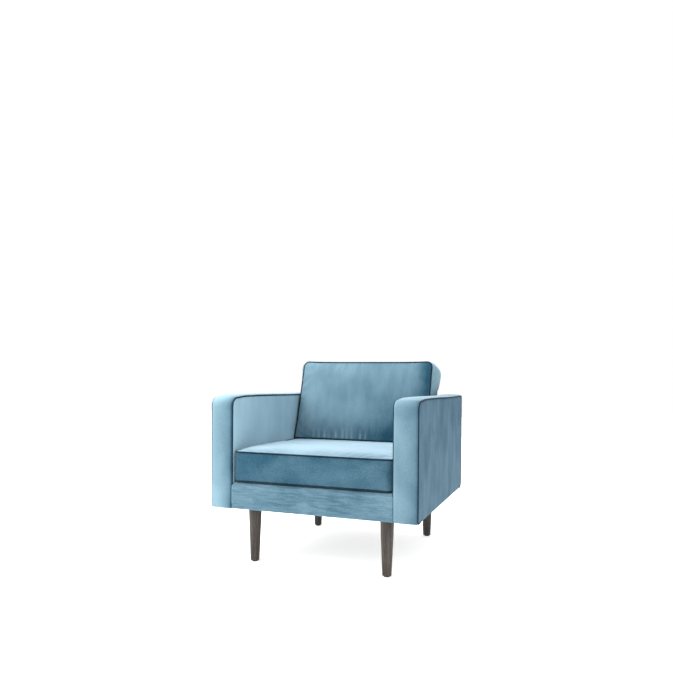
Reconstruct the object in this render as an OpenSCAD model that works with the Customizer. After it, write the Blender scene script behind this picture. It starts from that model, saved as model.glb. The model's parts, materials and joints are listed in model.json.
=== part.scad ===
// Upholstered armchair. A timber seat box on four turned legs carries two padded arm pods and a padded
// back, and two loose boxed cushions lie in it. Left and right are as seen from the front.
// Millimetres, +X right, +Y to the back, +Z up, origin on the floor under the middle of the chair.

/* [Overall] */
// Width over both arms
overall_width = 800; // [660:10:1000]
// Depth from the arm fronts to the outside back
overall_depth = 830; // [690:10:1000]
// Floor to the top of the arms
arm_height = 630; // [540:5:760]
// Floor to the underside of the body
leg_height = 215; // [140:5:260]

/* [Arms] */
// Width of each arm
arm_width = 90; // [75:1:130]
// Radius of the top front corner of an arm
arm_corner_r = 32; // [20:1:90]
// Radius of the top rear corner of an arm
arm_rear_r = 10; // [6:1:30]
// Radius of the lower rear corner of an arm
arm_heel_r = 30; // [10:1:60]
// Radius of the lower front corner of an arm
arm_toe_r = 12; // [6:1:40]
// Foam over the front and top of the arm frame
edge_foam = 20; // [10:1:40]
// Foam on each side of the arm frame
side_foam = 12; // [6:1:18]

/* [Back] */
// Thickness of the back at its top
back_thickness = 80; // [75:1:110]
// Lean of the back cushion from upright, in degrees
recline = 16.5; // [8:0.5:22]
// Wadding between the frame and the outside back
rear_wadding = 7; // [3:1:15]

/* [Seat] */
// Height of the upholstered front rail
rail_height = 100; // [80:1:140]
// Foam on the front of the front rail
rail_foam = 15; // [5:1:30]
// Number of webbing straps from front to back
long_straps = 5; // [3:1:7]
// Number of webbing straps from side to side
cross_straps = 5; // [3:1:7]
// Width of a webbing strap
strap_w = 60; // [40:1:70]

/* [Cushions] */
// Thickness of the seat cushion between its panels
seat_thick = 112; // [90:1:150]
// Radius of the seat cushion's corners in plan
seat_corner_r = 20; // [12:1:60]
// Thickness of the back cushion
back_cushion_thick = 140; // [100:1:170]
// Height of the back cushion's front panel, along its slope
back_cushion_height = 362; // [280:1:460]
// Radius of the back cushion's top corners
back_corner_r = 26; // [12:1:80]
// Gap between a cushion and each arm
cushion_gap = 4; // [2:0.5:10]
// Thickness of the fibre wrap inside a cushion's boxing
wrap = 8; // [7:0.5:12]
// Length of the seat cushion's zip
seat_zip_len = 500; // [200:10:560]
// Length of the back cushion's zip
back_zip_len = 440; // [200:10:560]

/* [Legs] */
// Diameter of a leg where it meets the body
leg_top_d = 52; // [40:0.5:64]
// Diameter of a leg at the floor
leg_foot_d = 37; // [24:0.5:46]
// Distance of the leg axes from the arms' inner faces
leg_side_in = 46; // [46:1:90]
// Distance of the front leg axes behind the front
leg_front_in = 98; // [90:1:160]
// Distance of the rear leg axes ahead of the outside back
leg_rear_in = 90; // [86:1:160]

/* [Fabric and fittings] */
// Thickness of the velvet with its lining
fabric = 3; // [2:0.5:4]
// Radius of the piping cord in its cover
piping_r = 2.4; // [1.6:0.1:3]
// Radius of the hanger bolts in the legs
hanger_r = 4; // [3:0.5:5]
// Radius of the bolts that hold the arms on
arm_bolt_r = 4; // [3:0.5:5]
// Radius of the frame's dowels
dowel_r = 4; // [3:0.5:6]

/* [Hidden] */
$fn = 48;
velvet = "SteelBlue";
timber = "BurlyWood";
foam = "Khaki";
steel = "Silver";
dark = "DimGray";

ARC_STEPS = 6; // flat steps in each rounded corner
TUBE_SIDES = 8;
CLEAR = 0.1; // radial room round a dowel, bolt or screw
SHARP = 0.5; // radius of a corner that is only a fold
cord_room = 2 * piping_r + 0.2; // width of the corner that a piping cord fills

front_y = -overall_depth / 2;
rear_y = overall_depth / 2;
inner_x = overall_width / 2 - arm_width; // inner face of each arm
deck_z = leg_height + rail_height; // top of the seat box
strap_t = 2;
board = 3;
timber_t = 30; // thickness of the arm posts and arm top rails
rail_t = 20; // thickness of the front and side rails
back_t = 45; // depth of the rear rail and the back frame
under = leg_height + fabric; // underside of the timber
rail_top = deck_z - 12; // the straps, pad and cloth of the deck lie above this
arm_rail_top = rail_top - 5;

// The arm in layers from its inner face to its outer face
arm_core_in = fabric + side_foam + board;
arm_core_out = arm_width - arm_core_in;

front_in = fabric + edge_foam; // arm frame behind the arm front
rear_in = fabric + rear_wadding; // frame ahead of the outside back
arm_frame_top = arm_height - front_in;
frame_front = front_y + front_in;
frame_rear = rear_y - rear_in;
back_front = frame_rear - back_t; // front face of the back frame
rail_front = front_y + fabric + rail_foam; // front face of the timber front rail
rail_back = rail_front + rail_t;
rail_lip_r = 14; // rounding of the front rail's upper and lower front edges
rail_toe_r = 8;
lip_y = rail_back + 30; // the front rail's cover and padding end here
bolt_z = under + 40;

// The sloping inside back
lean = tan(recline);
function inside_back_y(z) = rear_y - back_thickness - (arm_height - z) * lean;

// The cushions
seat_z0 = deck_z + 3;
seat_z1 = seat_z0 + seat_thick;
seat_x = inner_x - cushion_gap;
seat_y0 = front_y + 3;
seat_y1 = inside_back_y(seat_z0) - 6;
zip_h = 20; // height of a zip's opening
zip_t = 1.5; // thickness of its tape
teeth_w = 4;
teeth_t = 0.8;
zip_play = 0.3; // room between a slider and its zip
slider = [9, 10, 4.2]; // a zip slider along the zip, across it and out of it
pull_l = 16; // how far the pull reaches past its slider
pull_w = 5;
pull_t = 1.2;
pull_eye = 4; // middle of the eye, from the pull's end
pull_eye_r = 1.5;
back_z0 = seat_z1 + 3;
back_x = inner_x - cushion_gap - 3;
back_flat = back_cushion_thick / cos(recline); // its level underside from front to rear
back_y0 = inside_back_y(back_z0) - back_flat - 1.5;

// Legs and fittings
leg_x = inner_x - leg_side_in;
leg_spots = [
    [-leg_x, front_y + leg_front_in], [leg_x, front_y + leg_front_in],
    [-leg_x, rear_y - leg_rear_in], [leg_x, rear_y - leg_rear_in]
];
plate_t = 2.5;
plate_half = 25;
plate_hole = 19; // screws from the leg axis, along X and Y
boss_r = hanger_r + 3;
boss_h = 12;
leg_top_z = under; // level with the timber, so that a wide leg seats under its side rail
block_z = leg_top_z + plate_t;
block_h = 62;
glide_t = 4;
glide_r = 11;
screw_r = 2;
head_h = 1.2; // a plate screw's head is sunk flush, so that the leg's top seats flat
head_r = 2 * screw_r;

// ---- Outlines and placing ----

// Points of an arc about c, from angle a to angle b
function arc(c, r, a, b) = [
    for (i = [0 : ARC_STEPS]) let (t = a + (b - a) * i / ARC_STEPS) c + r * [cos(t), sin(t)]
];

// A rectangle with its own radius at each corner: r = [low left, low right, high right, high left].
// It starts at the low left corner's end on the left side and runs anticlockwise.
function rounded(x0, x1, y0, y1, r) = concat(
    arc([x0 + r[0], y0 + r[0]], r[0], 180, 270),
    arc([x1 - r[1], y0 + r[1]], r[1], 270, 360),
    arc([x1 - r[2], y1 - r[2]], r[2], 0, 90),
    arc([x0 + r[3], y1 - r[3]], r[3], 90, 180)
);

// The side view of an arm, taken in by f at the front, b at the back, t at the top and u underneath
function arm_outline(f, b, t, u) = rounded(
    front_y + f, rear_y - b, leg_height + u, arm_height - t,
    [
        max(1, arm_toe_r - max(f, u)), max(1, arm_heel_r - max(b, u)),
        max(1, arm_rear_r - max(b, t)), max(1, arm_corner_r - max(f, t))
    ]
);

// Extrudes a side view, drawn as [y, z], along X from x0 to x1
module along_x(x0, x1) {
    translate([x0, 0, 0]) rotate([90, 0, 90]) linear_extrude(x1 - x0) children();
}

// Puts a piece drawn from the arm's inner face outwards onto the left (-1) or right (1) arm
module on_arm(side) {
    if (side > 0) translate([inner_x, 0, 0]) children();
    else mirror([1, 0, 0]) translate([inner_x, 0, 0]) children();
}

// A box from its lowest to its highest corner
module box(a, b) {
    translate(a) cube(b - a);
}

// A round rod from a along axis 0, 1 or 2 for length l
module rod(a, axis, l, r) {
    translate(a) rotate([axis == 1 ? -90 : 0, axis == 0 ? 90 : 0, 0]) cylinder(h = l, r = r);
}

// A tube of radius r along a path in the XY plane, closed into a ring or open with flat ends
module tube(path, r, ring) {
    n = len(path);
    function next(i) = ring ? (i + 1) % n : min(n - 1, i + 1);
    function last(i) = ring ? (i + n - 1) % n : max(0, i - 1);
    function along(i) = let (d = path[next(i)] - path[last(i)]) d / norm(d);
    points = [
        for (i = [0 : n - 1], k = [0 : TUBE_SIDES - 1])
            let (t = along(i), a = 360 * k / TUBE_SIDES)
                [path[i][0] + r * cos(a) * t[1], path[i][1] - r * cos(a) * t[0], r * sin(a)]
    ];
    steps = ring ? n : n - 1;
    walls = [
        for (i = [0 : steps - 1], k = [0 : TUBE_SIDES - 1])
            let (a = i * TUBE_SIDES, b = ((i + 1) % n) * TUBE_SIDES, m = (k + 1) % TUBE_SIDES)
                each [[a + k, a + m, b + m], [a + k, b + m, b + k]]
    ];
    ends = ring ? [] : [
        [for (k = [TUBE_SIDES - 1 : -1 : 0]) k],
        [for (k = [0 : TUBE_SIDES - 1]) (n - 1) * TUBE_SIDES + k]
    ];
    polyhedron(points = points, faces = concat(walls, ends));
}

// ---- Dowels and bolts, which also make their own holes ----

dowel_l = 40;
dowel_pitch = 24;

// Every dowel as [middle, axis]
function arm_dowels(side) = let (x = side * (inner_x + arm_width / 2)) [
    for (y = [frame_front + timber_t / 2, frame_rear - timber_t / 2],
         z = [arm_rail_top, arm_frame_top - timber_t], s = [-1, 1])
        [[x + s * dowel_pitch / 2, y, z], 2]
];
function box_dowels() = [
    for (x = [-1, 1] * (inner_x - rail_t / 2), y = [rail_back, back_front], s = [-1, 1])
        [[x, y, (under + rail_top) / 2 + s * dowel_pitch / 2], 1]
];
function back_dowels() = [
    for (x = [-1, 1] * (inner_x - back_t / 2), z = [rail_top, arm_frame_top - timber_t], s = [-1, 1])
        [[x, back_front + back_t / 2 + s * dowel_pitch / 2, z], 2]
];

module dowels(list, extra = 0) {
    for (d = list)
        rod(d[0] - (d[1] == 1 ? [0, 1, 0] : [0, 0, 1]) * dowel_l / 2, d[1], dowel_l, dowel_r + extra);
}

bolt_ys = [front_y + 2 * leg_front_in, (rail_back + back_front) / 2, rear_y - 2 * leg_rear_in];
bolt_in = inner_x - rail_t; // inner face of a side rail
bolt_l = 75;

module bolt_shanks(side, extra = 0) {
    for (y = bolt_ys)
        rod([side > 0 ? bolt_in : -bolt_in - bolt_l, y, bolt_z], 0, bolt_l, arm_bolt_r + extra);
}

// ---- Arms ----

module arm_timber(side, y0, y1, z0, z1, u0 = arm_core_in) {
    color(timber) difference() {
        on_arm(side) intersection() {
            along_x(u0, arm_core_out) polygon(arm_outline(front_in, rear_in, front_in, fabric));
            box([0, y0, z0], [arm_width, y1, z1]);
        }
        dowels(arm_dowels(side), CLEAR);
        if (u0 < arm_core_in) bolt_shanks(side, CLEAR);
    }
}

module arm_front_post(side) {
    arm_timber(side, frame_front, frame_front + timber_t, arm_rail_top, arm_frame_top - timber_t);
}

module arm_rear_post(side) {
    arm_timber(side, frame_rear - timber_t, frame_rear, arm_rail_top, arm_frame_top - timber_t);
}

module arm_top_rail(side) {
    arm_timber(side, frame_front, frame_rear, arm_frame_top - timber_t, arm_frame_top);
}

// The bottom rail reaches in to the inner panel, so that the arm bolts pull on timber
module arm_bottom_rail(side) {
    arm_timber(side, frame_front, frame_rear, under, arm_rail_top, fabric);
}

// Hardboard on both faces of the frame, the inner one only above the bottom rail
module arm_boards(side) {
    color("Peru") on_arm(side) {
        intersection() {
            along_x(arm_core_in - board, arm_core_in)
                polygon(arm_outline(front_in, rear_in, front_in, fabric));
            box([0, front_y, arm_rail_top], [arm_width, rear_y, arm_height]);
        }
        along_x(arm_core_out, arm_core_out + board)
            polygon(arm_outline(front_in, rear_in, front_in, fabric));
    }
}

// An edge strip round the frame and a sheet on each side
module arm_foam(side) {
    color(foam) on_arm(side) {
        along_x(cord_room, arm_width - cord_room) difference() {
            polygon(arm_outline(fabric, fabric, fabric, fabric));
            polygon(arm_outline(front_in, rear_in, front_in, fabric));
            translate([front_y + front_in, leg_height])
                square([overall_depth - front_in - rear_in, fabric + 1]);
        }
        intersection() {
            along_x(fabric, arm_core_in - board)
                polygon(arm_outline(front_in, rear_in, front_in, fabric));
            box([0, front_y, arm_rail_top], [arm_width, rear_y, arm_height]);
        }
        along_x(arm_core_out + board, arm_width - fabric)
            polygon(arm_outline(front_in, rear_in, front_in, fabric));
    }
}

module arm_panel(u0) {
    along_x(u0, u0 + fabric) polygon(arm_outline(cord_room, cord_room, cord_room, 0));
}

module arm_inner_panel(side) {
    color(velvet) difference() {
        on_arm(side) arm_panel(0);
        bolt_shanks(side, CLEAR);
    }
}

module arm_outer_panel(side) {
    color(velvet) on_arm(side) arm_panel(arm_width - fabric);
}

band_fold = 60; // the band turns this far under the arm at each end

// One strip up the front, over the top, down the back and a little way under
module arm_band(side) {
    color(velvet) on_arm(side) along_x(cord_room, arm_width - cord_room) difference() {
        polygon(arm_outline(0, 0, 0, 0));
        polygon(arm_outline(fabric, fabric, fabric, fabric));
        translate([front_y + band_fold, leg_height - 1])
            square([overall_depth - 2 * band_fold, fabric + 2]);
    }
}

// Cords between the band and the two panels, open along the underside
module arm_piping(side) {
    inset = cord_room / 2;
    outline = arm_outline(inset, inset, inset, inset);
    // The path leaves out the two lower corners, and runs from the rear one over the top to the front
    path = [for (i = [ARC_STEPS * 2 + 1 : len(outline) - 1]) outline[i], outline[0]];
    color(velvet) on_arm(side) for (u = [inset, arm_width - inset])
        translate([u, 0, 0]) rotate([90, 0, 90]) tube(path, piping_r, false);
}

module arm_bolts() {
    washer_r = 2.6 * arm_bolt_r;
    head = 5;
    color(steel) for (side = [-1, 1]) {
        bolt_shanks(side);
        for (y = bolt_ys) {
            x = side > 0 ? bolt_in - 2 : -bolt_in;
            rod([x, y, bolt_z], 0, 2, washer_r);
            rod([side > 0 ? x - head : x + 2, y, bolt_z], 0, head, 1.8 * arm_bolt_r, $fn = 6);
        }
    }
}

// ---- Seat box ----

module front_rail() {
    color(timber) difference() {
        box([-inner_x, rail_front, under], [inner_x, rail_back, rail_top]);
        dowels(box_dowels(), CLEAR);
    }
}

module rear_rail() {
    color(timber) difference() {
        box([-inner_x, back_front, under], [inner_x, frame_rear, rail_top]);
        dowels(box_dowels(), CLEAR);
        dowels(back_dowels(), CLEAR);
    }
}

module side_rail(side) {
    color(timber) difference() {
        on_arm(side) box([-rail_t, rail_back, under], [0, back_front, rail_top]);
        dowels(box_dowels(), CLEAR);
        bolt_shanks(side, CLEAR);
    }
}

// Where a corner block starts and ends, from the rail it is glued to, past its leg's plate
block_front = [rail_back, front_y + leg_front_in + plate_half + 4];
block_rear = [rear_y - leg_rear_in - plate_half - 4, back_front];

module corner_blocks() {
    color("Tan") difference() {
        for (s = [-1, 1], b = [block_front, block_rear])
            box(
                [s > 0 ? leg_x - plate_half - 4 : -bolt_in, b[0], block_z],
                [s > 0 ? bolt_in : plate_half + 4 - leg_x, b[1], block_z + block_h]
            );
        for (p = leg_spots) translate([p[0], p[1], block_z - 1]) {
            cylinder(h = block_h + 2, r = boss_r + CLEAR);
            plate_screw_spots() cylinder(h = 21, r = screw_r + CLEAR);
        }
    }
}

// Spreads n strips of width strap_w evenly between a and b, as their middles
function spread(n, a, b) = [for (i = [0 : n - 1]) a + (b - a) * (i + 1) / (n + 1)];
long_xs = spread(long_straps, -inner_x, inner_x);
cross_ys = spread(cross_straps, rail_back, back_front);

module webbing_straps() {
    rear_end = frame_rear - back_t / 2;
    color("Sienna") for (x = long_xs)
        box([x - strap_w / 2, rail_front, rail_top], [x + strap_w / 2, rear_end, rail_top + strap_t]);
}

// A cross strap goes over one long strap and under the next, and its ends lie on the side rails
module webbing_cross_straps() {
    half = strap_w / 2 + 0.5;
    ends = [-inner_x, inner_x];
    for (j = [0 : cross_straps - 1]) {
        middle = [
            for (i = [0 : long_straps - 1]) let (up = (i + j) % 2 == 0 ? strap_t : -strap_t)
                each [[long_xs[i] - half, up], [long_xs[i] + half, up]]
        ];
        line = concat([[ends[0], 0], [ends[0] + rail_t, 0]], middle, [[ends[1] - rail_t, 0], [ends[1], 0]]);
        top = [for (i = [len(line) - 1 : -1 : 0]) line[i] + [0, strap_t]];
        color("Peru") translate([0, cross_ys[j] + strap_w / 2, rail_top]) rotate([90, 0, 0])
            linear_extrude(strap_w) polygon(concat(line, top));
    }
}

pad_z = rail_top + 2 * strap_t + 0.5;
pad_t = 4;

module deck_pad() {
    color("DarkGray") box([-inner_x, lip_y, pad_z], [inner_x, back_front - board, pad_z + pad_t]);
}

module deck_cloth() {
    color(dark) box([-inner_x, lip_y, pad_z + pad_t], [inner_x, back_front - board, pad_z + pad_t + 1.5]);
}

// The front rail in side view, taken in by t, as a block from its front back to the end of the lip
function rail_outline(t) = rounded(
    front_y + t, lip_y, leg_height + t, deck_z - t,
    [max(1, rail_toe_r - t), SHARP, SHARP, max(1, rail_lip_r - t)]
);

module front_rail_padding() {
    color(foam) along_x(-inner_x, inner_x) difference() {
        polygon(rail_outline(fabric));
        translate([rail_front, 0]) square([overall_depth, pad_z]);
    }
}

module front_rail_cover() {
    color(velvet) along_x(-inner_x, inner_x) difference() {
        polygon(rail_outline(0));
        polygon(rail_outline(fabric));
        translate([lip_y - 1, 0]) square([2, deck_z - fabric]);
        translate([rail_back, 0]) square([overall_depth, deck_z - fabric]);
    }
}

cambric = 1.5;

module dust_cover() {
    z = leg_height + 0.5;
    color("Black") {
        difference() {
            box([-inner_x, rail_back, z], [inner_x, frame_rear, z + cambric]);
            for (p = leg_spots) translate([p[0], p[1], z - 1])
                cylinder(h = cambric + 2, r = leg_top_d / 2 + 1);
        }
        for (side = [-1, 1]) on_arm(side)
            box(
                [cord_room, front_y + band_fold, z],
                [arm_width - cord_room, rear_y - band_fold, z + cambric]
            );
    }
}

// ---- Legs ----

module leg(i) {
    p = leg_spots[i];
    color("DimGray") translate([p[0], p[1], 0]) difference() {
        union() {
            translate([0, 0, glide_t]) cylinder(h = 2, r1 = leg_foot_d / 2 - 1.5, r2 = leg_foot_d / 2);
            translate([0, 0, glide_t + 2])
                cylinder(h = leg_top_z - glide_t - 2, r1 = leg_foot_d / 2, r2 = leg_top_d / 2);
        }
        translate([0, 0, leg_top_z - 40]) cylinder(h = 41, r = hanger_r + CLEAR);
        translate([0, 0, 0]) cylinder(h = glide_t + 18, r = screw_r + CLEAR);
    }
}

module plate_screw_spots() {
    for (x = [-1, 1] * plate_hole, y = [-1, 1] * plate_hole) translate([x, y, 0]) children();
}

module leg_plates() {
    color(steel) for (p = leg_spots) translate([p[0], p[1], leg_top_z]) difference() {
        union() {
            box([-plate_half, -plate_half, 0], [plate_half, plate_half, plate_t]);
            cylinder(h = plate_t + boss_h, r = boss_r);
        }
        translate([0, 0, -1]) cylinder(h = plate_t + boss_h + 2, r = hanger_r + CLEAR);
        translate([0, 0, -1]) plate_screw_spots() cylinder(h = plate_t + 2, r = screw_r + CLEAR);
        translate([0, 0, -1]) plate_screw_spots() cylinder(h = head_h + 1, r = head_r + CLEAR);
    }
}

module hanger_bolts() {
    color(steel) for (p = leg_spots) rod([p[0], p[1], leg_top_z - 39], 2, 39 + block_h / 2, hanger_r);
}

module leg_plate_screws() {
    color(steel) for (p = leg_spots) translate([p[0], p[1], leg_top_z]) plate_screw_spots() {
        cylinder(h = plate_t + 16, r = screw_r);
        cylinder(h = head_h, r = head_r);
    }
}

module foot_glides() {
    color("WhiteSmoke") for (p = leg_spots) translate([p[0], p[1], 0]) {
        cylinder(h = glide_t, r = glide_r);
        translate([0, 0, glide_t]) cylinder(h = 16, r = screw_r);
    }
}

// ---- Back ----

module back_stiles() {
    color(timber) difference() {
        for (s = [-1, 1]) box(
            [s > 0 ? inner_x - back_t : -inner_x, back_front, rail_top],
            [s > 0 ? inner_x : back_t - inner_x, frame_rear, arm_frame_top - timber_t]
        );
        dowels(back_dowels(), CLEAR);
    }
}

module back_top_rail() {
    color(timber) difference() {
        box([-inner_x, back_front, arm_frame_top - timber_t], [inner_x, frame_rear, arm_frame_top]);
        dowels(back_dowels(), CLEAR);
    }
}

module back_board() {
    low = rail_top + 2 * strap_t;
    color("Peru") box([-inner_x, back_front - board, low], [inner_x, back_front, arm_frame_top]);
}

// The point at height z that lies t behind the sloping inside back
function slope_point(z, t) = [inside_back_y(z) + t / cos(recline), z];

// A wedge before the frame, a layer over it and wadding behind it, with room for the cords along its top
module back_foam() {
    top = arm_height - fabric;
    cord_z = arm_height - cord_room;
    face = fabric + CLEAR;
    color(foam) along_x(-inner_x, inner_x) difference() {
        polygon([
            slope_point(deck_z, face), [frame_rear, deck_z], [frame_rear, under], [rear_y - fabric, under],
            [rear_y - fabric, cord_z], [rear_y - cord_room, cord_z], [rear_y - cord_room, top],
            [rear_y - back_thickness + cord_room, top], [rear_y - back_thickness + cord_room, cord_z],
            slope_point(cord_z, face)
        ]);
        translate([back_front - board, 0]) square([back_t + board, arm_frame_top]);
    }
}

module inside_back_panel() {
    top = arm_height - cord_room;
    color(velvet) along_x(-inner_x, inner_x) polygon([
        slope_point(deck_z, 0), slope_point(deck_z, fabric), slope_point(top, fabric), slope_point(top, 0)
    ]);
}

module back_top_band() {
    front = rear_y - back_thickness + cord_room;
    color(velvet) box([-inner_x, front, arm_height - fabric], [inner_x, rear_y - cord_room, arm_height]);
}

module outside_back_panel() {
    color(velvet) box([-inner_x, rear_y - fabric, leg_height], [inner_x, rear_y, arm_height - cord_room]);
}

module back_piping() {
    inset = cord_room / 2;
    color(velvet) for (y = [rear_y - back_thickness + inset, rear_y - inset])
        rod([-inner_x, y, arm_height - inset], 0, 2 * inner_x, piping_r);
}

module frame_dowels() {
    color("Wheat") {
        dowels(arm_dowels(-1));
        dowels(arm_dowels(1));
        dowels(box_dowels());
        dowels(back_dowels());
    }
}

// ---- Seat cushion ----

module seat_block(inset, z_inset) {
    r = max(2, seat_corner_r - inset);
    translate([0, 0, seat_z0 + z_inset]) linear_extrude(seat_thick - 2 * z_inset)
        polygon(rounded(-seat_x + inset, seat_x - inset, seat_y0 + inset, seat_y1 - inset, [r, r, r, r]));
}

seat_zip_z = (seat_z0 + seat_z1) / 2;

module seat_cushion_cover() {
    color(velvet) difference() {
        union() {
            seat_block(0, cord_room);
            seat_block(cord_room, 0);
        }
        seat_block(wrap, fabric);
        box([-seat_zip_len / 2, seat_y1 - wrap - 1, seat_zip_z - zip_h / 2],
            [seat_zip_len / 2, seat_y1 + 1, seat_zip_z + zip_h / 2]);
    }
}

module seat_cushion_core() {
    color(foam) seat_block(wrap + 0.5, fabric + 0.5);
}

module seat_cushion_piping() {
    inset = cord_room / 2;
    r = seat_corner_r - inset;
    path = rounded(-seat_x + inset, seat_x - inset, seat_y0 + inset, seat_y1 - inset, [r, r, r, r]);
    color(velvet) for (z = [seat_z0 + inset, seat_z1 - inset])
        translate([0, 0, z]) tube(path, piping_r, true);
}

// A tape that closes the opening, with a row of teeth along its middle
module zip_tape(len) {
    color(dark) {
        box([-len / 2, -zip_h / 2, 0], [len / 2, zip_h / 2, zip_t]);
        box([-len / 2, -teeth_w / 2, zip_t], [len / 2, teeth_w / 2, zip_t + teeth_t]);
    }
}

// A slider that straddles the teeth, with its pull lying along the zip
module zip_slider() {
    foot = zip_t + zip_play;
    back = foot + slider[2] - pull_t;
    groove = teeth_w / 2 + zip_play;
    tail = slider[0] / 2 + pull_l;
    color(steel) difference() {
        union() {
            box([-slider[0] / 2, -slider[1] / 2, foot], [slider[0] / 2, slider[1] / 2, back]);
            box([-tail, -pull_w / 2, back], [slider[0] / 4, pull_w / 2, back + pull_t]);
        }
        box([-slider[0], -groove, 0], [slider[0], groove, foot + teeth_t]);
        translate([pull_eye - tail, 0, 0]) cylinder(h = back + slider[2], r = pull_eye_r);
    }
}

// Turns a zip drawn flat so that it faces out of the seat cushion's rear, or down out of the back cushion
module on_seat_rear() {
    translate([0, seat_y1 - wrap, seat_zip_z]) rotate([-90, 0, 0]) children();
}
module on_back_underside() {
    translate([0, back_y0 + back_flat / 2, back_z0 + wrap]) rotate([180, 0, 0]) children();
}

module seat_zip_tape() {
    on_seat_rear() zip_tape(seat_zip_len);
}
module seat_zip_slider() {
    on_seat_rear() translate([seat_zip_len / 2 - slider[0], 0, 0]) zip_slider();
}

// ---- Back cushion ----

// Puts a shape drawn flat, x across and y up the slope, at depth w behind the front panel's plane
module on_slope(w) {
    translate([0, back_y0, back_z0]) rotate([90 - recline, 0, 0]) translate([0, 0, -w]) children();
}

// Height up the slope at which the level underside meets depth w
function under_at(w) = w * lean;

module back_block(inset, w_inset) {
    r = max(2, back_corner_r - inset);
    intersection() {
        on_slope(back_cushion_thick - w_inset) linear_extrude(back_cushion_thick - 2 * w_inset) polygon(
            rounded(inset - back_x, back_x - inset, -1, back_cushion_height - inset, [SHARP, SHARP, r, r])
        );
        box([-back_x, back_y0 - 1, back_z0 + inset],
            [back_x, rear_y + back_cushion_thick, back_z0 + back_cushion_height + 1]);
    }
}

module back_cushion_cover() {
    middle = back_y0 + back_flat / 2;
    color(velvet) difference() {
        union() {
            back_block(0, cord_room);
            back_block(cord_room, 0);
        }
        back_block(wrap, fabric);
        box([-back_zip_len / 2, middle - zip_h / 2, back_z0 - 1],
            [back_zip_len / 2, middle + zip_h / 2, back_z0 + wrap + 1]);
    }
}

module back_cushion_core() {
    color(foam) back_block(wrap + 0.5, fabric + 0.5);
}

module back_cushion_piping() {
    inset = cord_room / 2;
    r = back_corner_r - inset;
    color(velvet) for (w = [inset, back_cushion_thick - inset]) {
        path = rounded(
            inset - back_x, back_x - inset,
            under_at(w) + inset / cos(recline), back_cushion_height - inset,
            [inset, inset, r, r]
        );
        on_slope(w) tube(path, piping_r, true);
    }
}

module back_zip_tape() {
    on_back_underside() zip_tape(back_zip_len);
}
module back_zip_slider() {
    on_back_underside() translate([back_zip_len / 2 - slider[0], 0, 0]) zip_slider();
}

// ---- Nodes ----

front_rail();
rear_rail();
side_rail(-1);  // left_side_rail
side_rail(1);  // right_side_rail
corner_blocks();
webbing_straps();
webbing_cross_straps();
deck_pad();
deck_cloth();
front_rail_padding();
front_rail_cover();
dust_cover();
leg(0);  // leg_front_left
leg(1);  // leg_front_right
leg(2);  // leg_rear_left
leg(3);  // leg_rear_right
leg_plates();
hanger_bolts();
leg_plate_screws();
foot_glides();
arm_front_post(-1);  // left_arm_front_post
arm_rear_post(-1);  // left_arm_rear_post
arm_top_rail(-1);  // left_arm_top_rail
arm_bottom_rail(-1);  // left_arm_bottom_rail
arm_boards(-1);  // left_arm_boards
arm_foam(-1);  // left_arm_foam
arm_inner_panel(-1);  // left_arm_inner_panel
arm_outer_panel(-1);  // left_arm_outer_panel
arm_band(-1);  // left_arm_band
arm_piping(-1);  // left_arm_piping
arm_front_post(1);  // right_arm_front_post
arm_rear_post(1);  // right_arm_rear_post
arm_top_rail(1);  // right_arm_top_rail
arm_bottom_rail(1);  // right_arm_bottom_rail
arm_boards(1);  // right_arm_boards
arm_foam(1);  // right_arm_foam
arm_inner_panel(1);  // right_arm_inner_panel
arm_outer_panel(1);  // right_arm_outer_panel
arm_band(1);  // right_arm_band
arm_piping(1);  // right_arm_piping
back_stiles();
back_top_rail();
back_board();
back_foam();
inside_back_panel();
back_top_band();
outside_back_panel();
back_piping();
frame_dowels();
arm_bolts();
seat_cushion_cover();
seat_cushion_core();
seat_cushion_piping();
seat_zip_tape();
seat_zip_slider();
back_cushion_cover();
back_cushion_core();
back_cushion_piping();
back_zip_tape();
back_zip_slider();
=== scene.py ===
# %% [markdown]
# # An upholstered armchair in blue velvet
# A boxy armchair is a wooden frame with foam on it, covered in velvet that is cut in flat
# panels. Piping, a cord in its own strip of velvet, is sewn into each seam. Two loose
# cushions fill it, and four turned legs carry it.
#
# The frame's solid parts come ready made and keep their places. This lesson builds what
# the eye meets over them: fabric, piping, cushions, legs and zips.

# %% Load the solid frame
import json
import math
from types import SimpleNamespace
import bpy
import numpy as np
from mathutils import Matrix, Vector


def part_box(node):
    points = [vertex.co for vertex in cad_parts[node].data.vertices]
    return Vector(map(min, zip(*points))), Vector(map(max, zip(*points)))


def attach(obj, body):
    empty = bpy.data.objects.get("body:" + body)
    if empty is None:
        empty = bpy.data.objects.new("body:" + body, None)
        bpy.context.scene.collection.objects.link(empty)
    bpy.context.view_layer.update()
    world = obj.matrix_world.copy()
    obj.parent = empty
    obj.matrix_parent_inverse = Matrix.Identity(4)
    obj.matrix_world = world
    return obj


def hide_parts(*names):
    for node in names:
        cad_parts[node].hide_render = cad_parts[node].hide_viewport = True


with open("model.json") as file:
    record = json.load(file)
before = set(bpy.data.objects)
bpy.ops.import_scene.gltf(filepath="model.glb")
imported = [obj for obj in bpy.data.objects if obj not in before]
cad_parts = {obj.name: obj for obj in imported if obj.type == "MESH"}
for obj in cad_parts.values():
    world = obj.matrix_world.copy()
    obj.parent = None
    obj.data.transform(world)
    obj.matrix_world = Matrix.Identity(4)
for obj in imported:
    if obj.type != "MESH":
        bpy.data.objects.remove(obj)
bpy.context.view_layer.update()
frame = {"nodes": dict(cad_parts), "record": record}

MM = 0.001

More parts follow.
